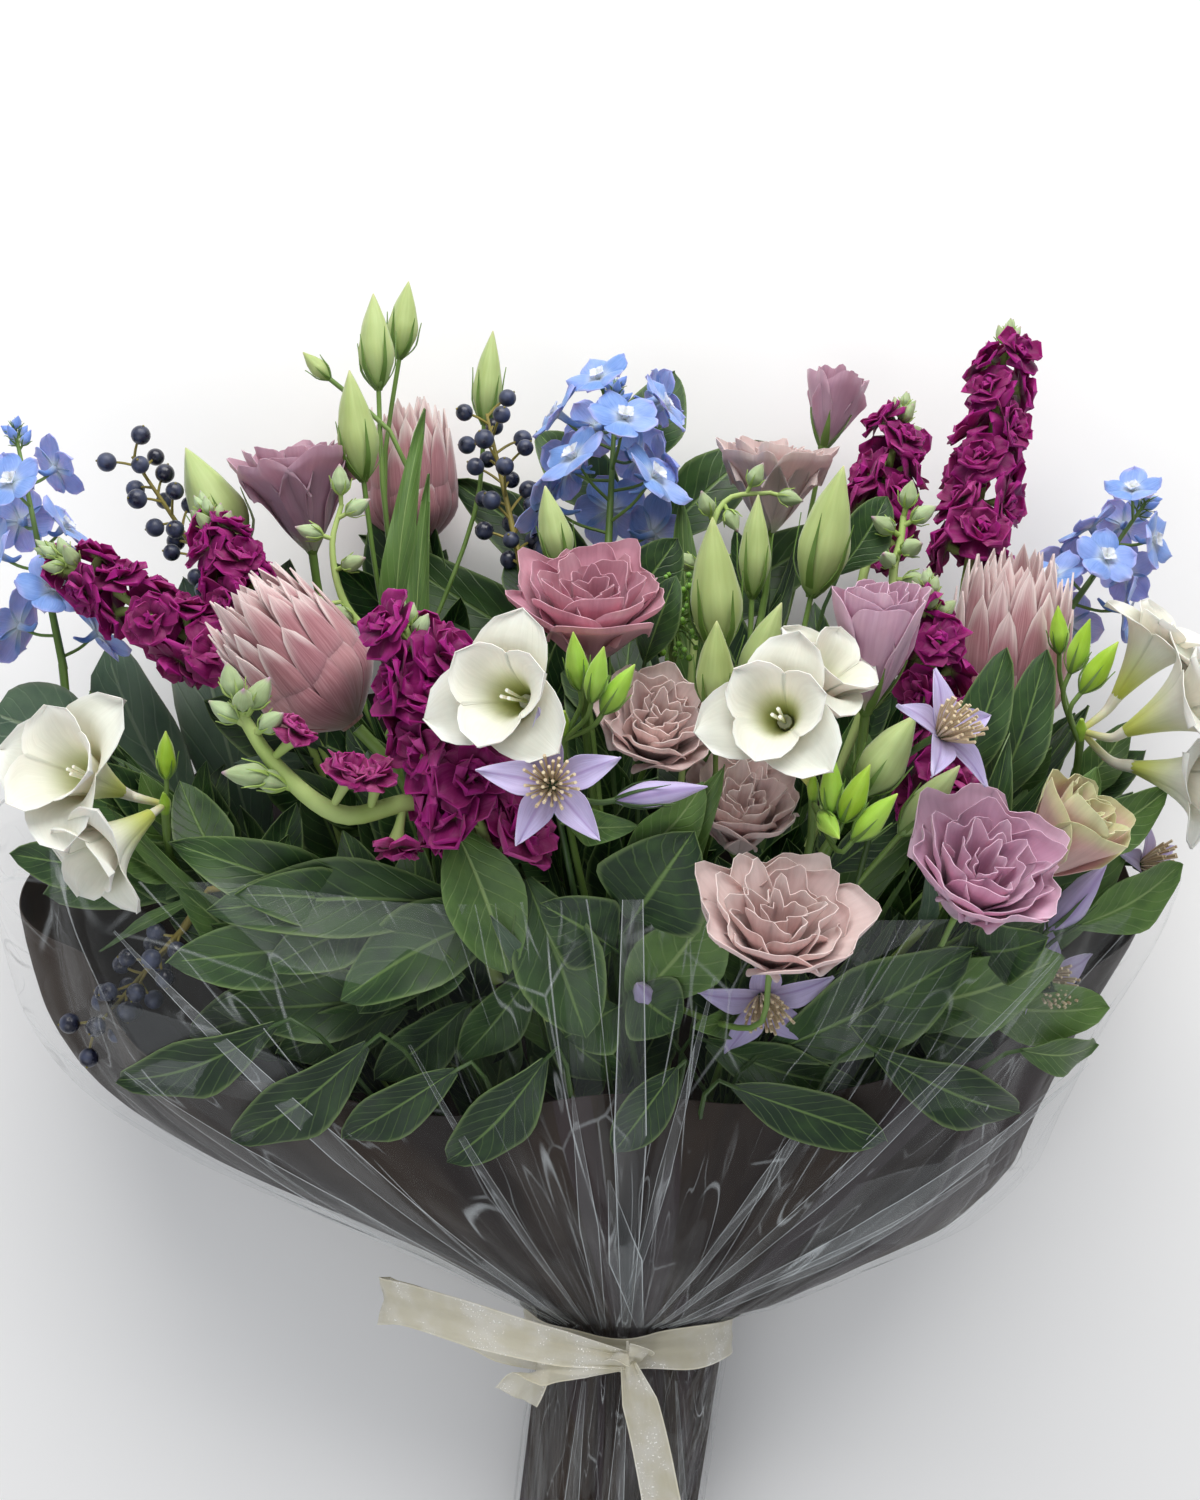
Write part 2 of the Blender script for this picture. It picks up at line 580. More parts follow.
def ribbonLook():  # sheer weave with a glitter in it, more solid at its edges
    settings = {"Roughness": 0.3, "Sheen Weight": 0.5, "Sheen Roughness": 0.3, "Specular IOR Level": 0.7}
    tree, inputs = newMaterial("organza", settings)
    u, v, off = acrossAndAlong(tree)
    weave = calc("MAXIMUM", calc("SINE", times(u, 420.0)), calc("SINE", times(v, 3600.0)))
    cloud, speck = noise(placeOf(tree), 60.0, 3.0), noise(placeOf(tree), 900.0, 1.0)
    glint = times(ramp(speck, 0.64, 0.7), ramp(cloud, 0.48, 0.6))
    colour = blendColour(ramp(cloud, 0.35, 0.7), (0.86, 0.81, 0.62), (1.0, 0.97, 0.86))
    facing = addNode(tree, "LayerWeight", {"Blend": 0.4}).outputs["Facing"]
    alpha = plus(0.44, times(facing, 0.35), times(ramp(off, 0.45, 0.49), 0.35), times(glint, 0.5))
    height = plus(times(weave, 0.12), times(speck, 1.5))
    colour = blendColour(glint, colour, (1.0, 1.0, 0.97))
    feed(inputs, {"Base Color": colour, "Alpha": calc("MINIMUM", alpha, 1.0)})
    feed(inputs, {"Normal": relief(height, 0.35, 0.0006)})


def twineLook():
    tree, inputs = newMaterial("juteTwine", {"Roughness": 0.9, "Sheen Weight": 0.3})
    wave = {"Vector": placeOf(tree), "Scale": 160.0, "Distortion": 3.0, "Detail": 3.0}
    lay = addNode(tree, "TexWave", wave, bands_direction="DIAGONAL").outputs["Fac"]
    hair = noise(placeOf(tree), 1200.0, 3.0)
    colour = blendColour(times(hair, lay), (0.12, 0.08, 0.04), (0.42, 0.32, 0.18))
    feed(inputs, {"Base Color": colour, "Normal": relief(plus(hair, lay), 0.8, 0.0008)})


def floorLook():
    tree, inputs = newMaterial("paleTable", {"Base Color": (0.93, 0.93, 0.92, 1), "Roughness": 0.8})
    feed(inputs, {"Normal": relief(noise(placeOf(tree), 60.0, 4.0), 0.05, 0.001)})


filmLook("clearFilm")
filmLook("foldedFilm", 0.55)
paperLook()
ribbonLook()
twineLook()
floorLook()
print("materials made:", len(looks))


# ---- the wrap: clear film over dark paper, gathered at the neck ----
wrap = {  # what changes along the wrap is in rows of (y, value)
    "across": 400, "along": 88, "start": -350,
    "middleX": [
        (-350, -3), (-224, 15), (-196, 15), (-180, 40), (-146, 30), (-116, 3), (-66, -18), (15, -4), (60, -2),
    ],
    "halfWidth": [
        (-350, 52), (-224, 51), (-196, 51), (-180, 105), (-146, 183),
        (-95, 243), (-60, 264), (-20, 283), (20, 296), (150, 302),
    ],
    "widestZ": [(-350, 46), (-224, 66), (-196, 66), (-150, 75), (-60, 92), (60, 106)],
    "topZ": [
        (-350, 96), (-224, 108), (-196, 108), (-180, 134), (-146, 168), (-110, 194), (-60, 218), (0, 236),
        (60, 248),
    ],
    "bottomZ": [
        (-350, -4), (-285, 10), (-224, 24), (-196, 24), (-178, 10), (-150, -6), (-110, -30), (-60, -60),
        (60, -80),
    ],
    "pleat": [(-350, 0.04), (-224, 0.02), (-150, 0.04), (60, 0.048)],
    "film": {
        "front": 22, "back": 112, "sharp": 2, "wave": 5, "lean": -15,
        "inset": [(0, 0)], "floor": 0, "seed": 11,
    },
    "paper": {
        "front": -74, "back": 136, "sharp": 1.25, "wave": 9, "lean": 0,
        "inset": [(-196, 3.4), (-146, 12)], "floor": 4, "seed": 5,
    },
    "folds": 34,
    "foldDepth": [(-350, 8), (-240, 2.4), (-224, 1.6), (-196, 1.6), (-150, 5), (-60, 9), (150, 10)],
}


def foldsOf(count, seed):  # creases that run out from the tie: where each starts, its drift, width and size
    pick, folds = random.Random(seed), []
    for _ in range(count):
        fold = {"turn": pick.uniform(0, 2 * math.pi), "drift": pick.uniform(-0.2, 0.2)}
        fold |= {"wide": pick.uniform(0.06, 0.26), "size": pick.uniform(0.3, 1.0) * pick.choice((1, -1))}
        folds.append(fold)
    return folds


sharedFolds = foldsOf(wrap["folds"], 3)  # large creases that both layers follow


def foldAt(folds, turn, y):
    total = 0
    for fold in folds:
        middle = fold["turn"] + fold["drift"] * (y + 200) / 300
        away = abs((turn - middle + math.pi) % (2 * math.pi) - math.pi) / fold["wide"]
        if away < 1:
            total += fold["size"] * (1 - away)
    return max(-1, min(1, total))


def wrapAt(key, y):  # a row's value with its corners rounded, away from the neck
    step = 13 * smoothStep((y + 206) / 24)
    return sum(between(wrap[key], y + step * k) for k in (-2, -1, 0, 1, 2)) / 5


def onWrap(turn, y, inset, floor=0.0, crease=0.0):
    # a point inside the wrap's outer face by inset, at height y, a turn round from the front
    sin, cos = math.sin(turn), math.cos(turn)
    fold = 1 + between(wrap["pleat"], y) * (0.6 * math.cos(8 * turn + 0.7) + 0.4 * math.cos(5 * turn + 2))
    middle = wrapAt("widestZ", y)
    high = wrapAt("topZ", y) - middle if cos > 0 else middle - wrapAt("bottomZ", y)
    out = wrapAt("halfWidth", y) * fold - inset + crease
    up = middle + (high * fold - inset + crease) * cos
    return Vector((wrapAt("middleX", y) + out * sin, y, max(floor, up)))


def gatheredSheet(form):  # both layers share the large creases, and each has small ones of its own
    own = foldsOf(wrap["folds"], form["seed"])

    def surface(u, v):
        turn = math.pi * u
        rim = form["front"] + (form["back"] - form["front"]) * ((1 - math.cos(turn)) / 2) ** form["sharp"]
        rim += form["wave"] * math.sin(7 * turn + 1) * math.cos(3 * turn) + form["lean"] * math.sin(turn)
        y = wrap["start"] + (rim - wrap["start"]) * v
        depth = between(wrap["foldDepth"], y)
        crease = (foldAt(sharedFolds, turn, y) - 1) * depth * 0.5 + (foldAt(own, turn, y) - 1) * depth * 0.12
        return onWrap(turn, y, between(form["inset"], y), form["floor"], crease)

    bm = newMesh()
    sheet(bm, surface, wrap["across"], wrap["along"])
    bmesh.ops.remove_doubles(bm, verts=bm.verts[:], dist=weld)
    bmesh.ops.recalc_face_normals(bm, faces=bm.faces[:])
    return bm


# flat pleats where the film folds over itself: start, end, and the width at its start, middle and end
pleats = [
    ((13, -196), (14, 26), 4, 15, 9), ((20, -196), (4, -104), 3, 16, 1), ((2, -198), (-12, -62), 2, 9, 1),
    ((26, -197), (210, -4), 2, 9, 1), ((30, -198), (240, -64), 2, 12, 1),
    ((22, -196), (128, -24), 1, 6, 1), ((-16, -198), (-220, 8), 2, 12, 1),
    ((-20, -199), (-222, -60), 2, 13, 1), ((-6, -196), (-84, -40), 1, 5, 1),
    ((34, -199), (186, -108), 2, 8, 1), ((-24, -199), (-160, -118), 1, 6, 1),
    ((8, -196), (50, -10), 1, 6, 1), ((12, -226), (4, -346), 3, 8, 12),
    ((24, -226), (34, -346), 2, 6, 10), ((-8, -226), (-20, -346), 2, 7, 12),
    ((38, -226), (46, -344), 1, 3, 5),
]


def onFront(x, y, lift):  # the point of the film's front that shows at a place, seen from above
    turn = math.asin(max(-0.97, min(0.97, (x - wrapAt("middleX", y)) / wrapAt("halfWidth", y))))
    crease = (foldAt(sharedFolds, turn, y) - 1) * between(wrap["foldDepth"], y) * 0.35
    return Vector((x, y, onWrap(turn, y, -lift, 0, crease).z))


def filmMesh():
    bm = gatheredSheet(wrap["film"])
    for start, end, *widths in pleats:
        start, end = Vector(start), Vector(end)
        side = (end - start).normalized().orthogonal()

        def surface(u, v):
            place = start.lerp(end, v) + side * (u / 2 * between(list(zip((0, 0.5, 1), widths)), v))
            return onFront(place.x, place.y, 0.8)

        sheet(bm, surface, 4, 36, 1)
    return bm


finishPiece(filmMesh(), "clearFilm foldedFilm", "film_wrap", 0.1)
finishPiece(gatheredSheet(wrap["paper"]), "darkPaper", "paper_wrap", 0.6)
print("wrap made")


# ---- stems: every stem runs from its cut end, through the binding point and out along its own ray ----
binding = {
    "neck": (15, -210, 66), "ends": (-3, -366, 49), "stagger": 12, "splay": 1.02,
    "level": 42, "spreadX": 24, "spreadZ": 56, "pitchX": 0.23, "pitchZ": 0.085,
}
neckX, neckY, neckZ = binding["neck"]
takenRays, stemRoutes = set(), []


def freeRay(head):  # the free place in the bundle that lies nearest to a head's own direction
    rise = head.y - neckY
    ownX = (head.x - neckX) / (rise + binding["spreadX"])
    ownZ = (head.z - binding["level"]) / (rise + binding["spreadZ"])
    column, row = round(ownX / binding["pitchX"]), round(ownZ / binding["pitchZ"])
    near = []
    for i in range(column - 3, column + 4):
        for j in range(row - 3, row + 4):
            ray = ((i + (j % 2) / 2) * binding["pitchX"], j * binding["pitchZ"])
            near.append((math.hypot(ray[0] - ownX, 2 * (ray[1] - ownZ)), i, j, ray))
    free = min((place for place in near if place[1:3] not in takenRays), key=lambda place: place[0])
    takenRays.add(free[1:3])
    return free[3], (ownX, ownZ)


def stemRoute(base, face, cutShare):
    base = Vector(base)
    ray, own = freeRay(base)
    rise, splay = base.y - neckY, binding["splay"]
    offX, offZ = ray[0] * binding["spreadX"], binding["level"] + ray[1] * binding["spreadZ"] - neckZ

    def at(up, way):
        x = neckX + way[0] * (binding["spreadX"] + up)
        return Vector((x, neckY + up, binding["level"] + way[1] * (binding["spreadZ"] + up)))

    def along(share):
        return at(rise * share, ray).lerp(at(rise * share, own), smoothStep(share))

    endX, endY, endZ = binding["ends"]
    cut = Vector((endX + offX * splay, endY + binding["stagger"] * (cutShare % 1), endZ + offZ * splay))
    neck = Vector((neckX + offX, neckY, neckZ + offZ))
    lead = base - Vector(face).normalized() * min(34, rise * 0.2)
    stemRoutes.append(routeThrough([cut, neck.lerp(cut, 0.3), neck, along(0.3), along(0.62), lead, base], 40))
    return stemRoutes[-1]


def spikeOf(plant, cutShare):  # a straight spike's foot, tip and axis, and the stem that carries it
    foot, tip = Vector(plant["foot"]), Vector(plant["tip"])
    axis = (tip - foot).normalized()
    return foot, tip, axis, stemRoute(foot, axis, cutShare)


def stemBody(bm, route, radius, look=0):
    rows = [(0, radius * 1.1), (0.5, radius), (0.9, radius * 0.85), (1, radius * 1.1)]
    tube(bm, route, rows, 7, look, draw.uniform(0.3, 0.7))


def branch(bm, route, share, base, face, radius, look=0):
    root, base = onRoute(route, share), Vector(base)
    lead = base - Vector(face).normalized() * ((root - base).length * 0.3)
    stemBody(bm, routeThrough([root, lead, base], 14), radius, look)


def stemLeaf(bm, route, look, shape, share, tip, wide, facing=(0, 0, 1)):  # a leaf on a short stalk
    root = onRoute(route, share)
    tip = Vector(tip)
    stalkEnd = root.lerp(tip, 0.16)
    tube(bm, [root, root.lerp(stalkEnd, 0.5), stalkEnd], [(0, 1.1), (1, 0.9)], 5, look, 0.5)
    leaf(bm, root.lerp(tip, 0.13), tip, wide, facing, look, draw.uniform(0.25, 0.8), shape)


def footOf(at, face, tall=0):
    return Vector(at) - Vector(face).normalized() * (tall / 2)


def ringTurn(i, ring, count, stray):  # petals of one ring stand behind the gaps of the ring before it
    return 2 * math.pi * (i + ring * 0.5) / count + draw.uniform(-stray, stray)


def polar(placed, out, turn, up):
    return placed @ Vector((out * math.cos(turn), out * math.sin(turn), up))


print("stems ready")


# ---- lisianthus: cups of ruffled petals, ring within ring, with long pale buds ----
# rings: petals, width, height
openRings = [(5, 1.0, 1.0), (5, 0.84, 1.0), (5, 0.66, 0.98), (4, 0.46, 0.93), (3, 0.26, 0.86)]
closedRings = [(4, 1.0, 1.0), (4, 0.78, 1.03), (3, 0.56, 1.0), (3, 0.34, 0.95)]
petalSlots = {"deepPinkPetal": "petal_pink", "rosePinkPetal": "petal_pink", "mauvePetal": "petal_mauve"}
petalSlots |= {"blushPetal": "petal_blush", "peachPetal": "petal_blush"}
# blooms: name, place, way they face, height, width, look
# buds: place, way they face, length, width; leaves: share of the stem, tip, width
lisianthus = [
    {
        "name": "centre",
        "blooms": [
            ("deep_pink", (-4, 150, 206), (0.05, 0.8, 0.6), 50, 66, "deepPinkPetal"),
            ("pale_centre", (25, 98, 214), (0.15, 0.55, 0.82), 42, 52, "blushPetal"),
            ("blush_front", (74, 14, 262), (0.08, 0.72, 0.69), 46, 68, "blushPetal"),
            ("blush_low", (62, 60, 212), (0.05, 0.75, 0.66), 42, 52, "blushPetal"),
        ],
        "buds": [((-22, 196, 150), (-0.2, 0.95, 0.15), 40, 16), ((50, 126, 232), (0, 0.9, 0.4), 42, 17)],
        "leaves": [(0.72, (52, 82, 250), 34)],
    },
    {
        "name": "back",
        "blooms": [
            ("pale_back", (88, 226, 84), (0.05, 0.97, 0.2), 50, 54, "blushPetal"),
            ("mauve_back", (122, 270, 56), (0.2, 0.97, 0.1), 44, 38, "mauvePetal", "closed"),
        ],
        "buds": [
            ((52, 164, 196), (-0.05, 0.98, 0.2), 62, 23), ((73, 186, 160), (0.05, 0.98, 0.15), 48, 15),
            ((106, 192, 168), (0.22, 0.95, 0.2), 62, 24), ((74, 136, 190), (0.35, 0.9, 0.3), 46, 17),
        ],
        "leaves": [(0.7, (40, 216, 120), 26)],
    },
    {
        "name": "right",
        "blooms": [
            ("rose_pink", (121, 134, 218), (0.08, 0.9, 0.42), 60, 48, "rosePinkPetal", "closed"),
            ("pink_right", (162, 34, 238), (0.2, 0.62, 0.76), 52, 68, "rosePinkPetal"),
            ("peach_right", (208, 50, 200), (0.55, 0.68, 0.48), 50, 48, "peachPetal", "closed"),
        ],
        "buds": [((124, 88, 238), (0.5, 0.8, 0.3), 42, 20), ((146, 68, 214), (0.6, 0.75, 0.25), 40, 15)],
        "leaves": [(0.7, (176, 96, 150), 22)],
    },
    {
        "name": "left",
        "blooms": [("mauve_left", (-149, 218, 106), (-0.15, 0.96, 0.22), 58, 60, "mauvePetal")],
        "buds": [
            ((-114, 298, 88), (-0.05, 1, 0.05), 48, 18), ((-102, 314, 66), (0.12, 1, 0), 40, 16),
            ((-120, 250, 118), (-0.12, 1, 0.1), 54, 20), ((-144, 285, 92), (-0.7, 0.7, 0.1), 18, 9),
            ((-58, 284, 66), (0.1, 1, 0.05), 48, 15), ((-196, 216, 92), (-0.45, 0.9, 0.1), 60, 28),
        ],
        "leaves": [(0.8, (-88, 262, 96), 16), (0.74, (-84, 226, 120), 14)],
    },
]


def ruffledBloom(bm, at, face, tall, across, closed):
    axis, foot, half = Vector(face).normalized(), footOf(at, face, tall), across / 2
    matrix = standing(foot, axis, anyTurn())
    for ring, (count, wide, high) in enumerate(closedRings if closed else openRings):
        flare = (0.5 if closed else 1.0) * wide
        for i in range(count):
            placed = turned(matrix, ringTurn(i, ring, count, 0.14))
            reach, rise = half * wide * draw.uniform(0.92, 1.06), tall * high * draw.uniform(0.92, 1.04)
            wave, phase, turnIn = draw.uniform(0.05, 0.11), anyTurn(), draw.uniform(-1, 1)
            arc = 2 * math.pi / count * 0.82

            def surface(u, v):
                out = reach * (0.1 + 0.6 * swell(v * 1.15) ** 1.1)
                out += reach * 0.34 * flare * smoothStep((v - 0.5) / 0.5) * (1 - 0.5 * abs(u) ** 3)
                sunk = 0.34 * abs(u) ** 4 * v * v
                up = rise * (v**1.15 - 0.12 * flare * smoothStep((v - 0.7) / 0.3) - sunk)
                frill = wave * half * v**3 * (math.sin(5.5 * u + phase) + 0.6 * math.sin(10 * u + 2 * phase))
                swing = u * arc * (0.36 + 0.64 * swell(v * 1.9) - 0.12 * v**4)
                width = 1 - 0.1 * u * u * turnIn
                return polar(placed, out * width + frill, swing, up + frill * 0.6)

            sheet(bm, surface, 16, 14, 0, draw.uniform(0.3, 0.7))
    for i in range(5):  # green sepals under the cup
        sepal = (2.5, tall * 0.5, 4.5, 0.9, 0.5, (0.6, 0.25, 1.1), 1, 0.4, 2)
        sheet(bm, openPetal(matrix, i * fifthTurn, sepal), 2, 8, 1, 0.5)
    rod(bm, [foot - axis * 3, foot, foot + axis * 5], 6, [(0, 1.6), (0.5, 3.6), (1, 2)], 8, 1, 0.4)


for n, plant in enumerate(lisianthus):
    bm = newMesh()
    main, *others = plant["blooms"]
    route = stemRoute(footOf(*main[1:4]), main[2], n / len(lisianthus))
    stemBody(bm, route, 2.1)
    for i, bloom in enumerate(others):
        branch(bm, route, 0.62 + 0.06 * i, footOf(*bloom[1:4]), bloom[2], 1.5)
    for i, one in enumerate(plant["buds"]):
        bud(bm, onRoute(route, 0.66 + 0.04 * i), *one, 1, 0, draw.uniform(0.4, 0.8))
    for one in plant["leaves"]:
        stemLeaf(bm, route, 2, None, *one)
    finishPiece(bm, "freshStem paleBud midLeaf", "lisianthus_stem_" + plant["name"])
    for name, at, face, tall, across, look, *closed in plant["blooms"]:
        bm = newMesh()
        ruffledBloom(bm, at, face, tall, across, closed)
        finishPiece(bm, look + " freshStem", "lisianthus_bloom_" + name, 0.35)
print("lisianthus made")


# ---- stock: spikes of crowded double florets below a cluster of downy buds ----
stock = [
    {
        "name": "left", "foot": (-178, 132, 148), "tip": (-252, 178, 146), "florets": 13, "reach": 16,
        "radius": 17,
    },
    {
        "name": "back_left", "foot": (-164, 150, 146), "tip": (-184, 194, 144), "florets": 10, "reach": 15,
        "radius": 17,
    },
    {
        "name": "front", "foot": (-46, 40, 224), "tip": (-84, 140, 222), "florets": 16, "reach": 22,
        "radius": 22,
    },
    {
        "name": "tall_right", "foot": (184, 176, 100), "tip": (208, 292, 78), "florets": 16, "reach": 16,
        "radius": 18,
    },
    {
        "name": "back_right", "foot": (138, 198, 92), "tip": (154, 256, 74), "florets": 10, "reach": 16,
        "radius": 18,
    },
    {
        "name": "right", "foot": (156, 60, 186), "tip": (150, 152, 188), "florets": 13, "reach": 15,
        "radius": 17,
    },
]
# rings of a floret: petals, size, tilt, curl
rosette = [(5, 1.0, 0.3, -0.6), (5, 0.86, 0.7, -0.7), (4, 0.66, 1.05, -0.5), (3, 0.46, 1.35, 0.2)]


def doubleFloret(bm, root, out, reach, radius, tone):  # a stalk, a green calyx and rings of ruffled petals
    sway = Vector((draw.uniform(-1, 1), draw.uniform(-1, 1), draw.uniform(-0.6, 1))) * 0.4
    axis = (Vector(out).normalized() + sway).normalized()
    centre, neck = root + axis * reach, root + axis * (reach * 0.55)
    tube(bm, [root, root.lerp(neck, 0.5), neck, centre], [(0, 0.9), (0.5, 1), (0.66, 2.4), (1, 2)], 6, 1, 0.5)
    matrix = standing(root + axis * (reach * 0.82), axis, anyTurn())
    for ring, (count, size, tilt, curl) in enumerate(rosette):
        for i in range(count):
            long, wide = radius * size * draw.uniform(0.85, 1.15), radius * size * draw.uniform(1.05, 1.35)
            bend = (tilt + draw.uniform(-0.25, 0.25), curl + draw.uniform(-0.4, 0.4))
            cup, ruffle = draw.uniform(-1.2, 1.2), radius * draw.uniform(0.06, 0.14)
            form = (1, long, wide, *bend, (0.3, 0.66, 2.5), cup, ruffle, 5)
            petal = openPetal(matrix, ringTurn(i, ring, count, 0.15), form, anyTurn())
            sheet(bm, petal, 7, 6, 0, min(1, max(0, tone + draw.uniform(-0.2, 0.2))))


for n, plant in enumerate(stock):
    foot, tip, axis, route = spikeOf(plant, n * 0.37)
    top = tip + axis * 14
    bm = newMesh()
    stemBody(bm, route, 2.4)
    rod(bm, [foot - axis * 3, foot.lerp(tip, 0.5), top], 12, [(0, 2.6), (1, 1.6)], 8, 0, 0.6)
    for i in range(9):  # the buds that crown the spike, the lowest the largest
        lift = 0.35 + 0.13 * i
        side = sideways(axis, i * goldenTurn, (math.cos(lift), 0, math.sin(lift))).normalized()
        root = top - axis * (15 - 1.7 * i)
        at, face = root + side * (9 - 0.4 * i), side + axis * 0.4
        bud(bm, root, at, face, 11 - 0.5 * i, 7.5 - 0.4 * i, 1, 0, draw.uniform(0.2, 0.9), 0.8)
    for i in range(3):
        root = onRoute(route, 0.72 + 0.08 * i)
        side = sideways(axis, i * goldenTurn, (1, 0, 1.2))
        leaf(bm, root, root + side.normalized() * 40, 9, (0, 0, 1), 2, draw.uniform(0.4, 0.8))
    finishPiece(bm, "downyStem stockBud waxyLeaf", "stock_stem_" + plant["name"])
    bm = newMesh()
    for i in range(plant["florets"]):
        share = (i + 0.5) / plant["florets"]
        lift, size = 0.1 + 0.5 * share, 1 - 0.25 * share
        out = sideways(axis, i * goldenTurn, (math.cos(lift), 0, math.sin(lift)))
        reach, radius = plant["reach"] * size * 0.95, plant["radius"] * size * 0.92
        doubleFloret(bm, foot.lerp(tip, share), out, reach, radius, 0.62 - 0.3 * share)
    finishPiece(bm, "magentaPetal downyStem", "stock_head_" + plant["name"], 0.4)
print("stock made")


# ---- delphinium: loose spikes of blue florets, each with a pale bee at its middle and a spur behind ----
delphinium = [
    {
        "name": "left", "foot": (-262, 132, 128), "tip": (-288, 246, 118), "florets": 10, "reach": 20,
        "radius": 19,
    },
    {
        "name": "centre", "foot": (4, 190, 118), "tip": (8, 272, 92), "florets": 14, "reach": 31,
        "radius": 20,
    },
    {
        "name": "right", "foot": (230, 150, 92), "tip": (278, 216, 86), "florets": 10, "reach": 21,
        "radius": 18,
    },
]


def spurredFloret(bm, root, out, reach, radius, spin):
    axis = Vector(out).normalized()
    centre = root + axis * reach
    droop = Vector((0, -1, -0.2)) * (reach * 0.08)
    rod(bm, [root, root.lerp(centre, 0.55) + droop, centre], 8, [(0, 0.9), (1, 0.8)], 5, 2, 0.4)
    spurEnd = centre - axis * (reach * 0.55) + Vector((0, 0.35, 0.5)) * radius * 0.55
    rod(bm, [centre, centre - axis * (reach * 0.3), spurEnd], 8, [(0, 2.2), (0.5, 1.5), (1, 0.7)], 6, 0, 0.3)
    matrix = standing(centre, axis, spin)
    for i in range(5):
        size = radius * draw.uniform(0.88, 1.02)
        tilt = 0.45 + draw.uniform(-0.12, 0.12)
        turn = i * fifthTurn + draw.uniform(-0.1, 0.1)
        form = (1.2, size, size * 0.92, tilt, -0.5, (0.24, 0.58, 2.0), -0.5, 1.0, 3)
        sheet(bm, openPetal(matrix, turn, form, anyTurn()), 8, 8, 0, draw.uniform(0.25, 0.75))
    for i in range(4):  # the bee: small pale inner petals
        form = (0.4, radius * 0.38, radius * 0.28, 1.25, -0.9, (0.5, 0.6, 1.6), 1, 0.4, 4)
        sheet(bm, openPetal(matrix, i * 1.5708, form, i), 3, 5, 1, 0.5)
    for i in range(5):
        side = matrix.to_3x3() @ Vector((math.cos(i * 1.26), math.sin(i * 1.26), 0))
        ball(bm, centre + axis * 2.2 + side * 1.5, 0.7, 1, 0.3, 1)


for n, plant in enumerate(delphinium):
    foot, tip, axis, route = spikeOf(plant, n * 0.61)
    bm = newMesh()
    stemBody(bm, route, 2, 2)
    rod(bm, [foot - axis * 3, foot.lerp(tip, 0.5), tip], 14, [(0, 2.1), (1, 0.9)], 7, 2, 0.5)
    for i in range(plant["florets"]):
        share = (i + 0.3) / plant["florets"]
        out = sideways(axis, i * goldenTurn + 0.6, (1, 0, 0.5)).normalized()
        size = 1 - 0.25 * share
        reach = plant["reach"] * size * draw.uniform(0.9, 1.25)
        spurredFloret(bm, foot.lerp(tip, share * 0.93), out, reach, plant["radius"] * size * 1.08, i)
    for i in range(7):
        root = tip - axis * (9 - 2 * i)
        side = sideways(axis, i * goldenTurn, (1, 0, 1))
        bud(bm, root, root + side.normalized() * (8 - 0.5 * i), side, 8 - 0.4 * i, 4.6, 0, 2, 0.5, 0.6)
    finishPiece(bm, "bluePetal beePetal freshStem", "delphinium_" + plant["name"], 0.3)
print("delphinium made")


# ---- freesia: a bent comb of lime buds behind a few open trumpets ----
# blooms: place, way they face, height, width; buds: place, way, length, width
freesia = [
    {
        "name": "left",
        "blooms": [
            ((-232, 78, 196), (-0.45, 0.3, 0.84), 48, 68), ((-216, 50, 204), (-0.55, -0.5, 0.65), 42, 52),
        ],
        "buds": [((-196, 88, 196), (0.1, 0.9, 0.5), 24, 9)], "joint": (-200, 62, 180),
    },
    {
        "name": "centre", "blooms": [((-36, 112, 256), (-0.35, 0.1, 0.92), 42, 60)],
        "buds": [
            ((-10, 128, 250), (-0.1, 0.9, 0.45), 26, 10), ((-1, 122, 256), (0.2, 0.85, 0.5), 26, 10),
            ((8, 116, 252), (0.5, 0.75, 0.4), 26, 10),
        ],
        "joint": (-16, 98, 232),
    },
    {
        "name": "right",
        "blooms": [((76, 104, 252), (-0.25, 0.15, 0.95), 40, 58), ((92, 116, 238), (0.5, 0.6, 0.62), 40, 46)],
        "buds": [
            ((98, 76, 250), (0, 0.95, 0.3), 26, 10), ((108, 72, 254), (0.35, 0.85, 0.4), 28, 11),
            ((116, 62, 254), (0.6, 0.7, 0.4), 28, 11), ((97, 58, 252), (0.25, -0.45, 0.86), 22, 9),
        ],
        "joint": (93, 70, 224),
    },
    {
        "name": "far_right",
        "blooms": [
            ((262, 108, 182), (0.75, 0.4, 0.5), 46, 62), ((254, 132, 166), (0.5, 0.8, 0.35), 42, 50),
            ((266, 78, 176), (0.75, -0.2, 0.6), 42, 52),
        ],
        "buds": [
            ((212, 146, 176), (-0.1, 0.95, 0.3), 22, 9), ((220, 138, 184), (0.25, 0.9, 0.35), 26, 10),
            ((228, 128, 188), (0.5, 0.8, 0.35), 28, 11),
        ],
        "joint": (226, 96, 160),
    },
]


# the outer and the inner tepals: reach, width, spread, height, droop
tepals = [(0.55, 0.74, 0.5, 1, 0.16), (0.45, 0.66, 0.26, 1.08, 0.03)]


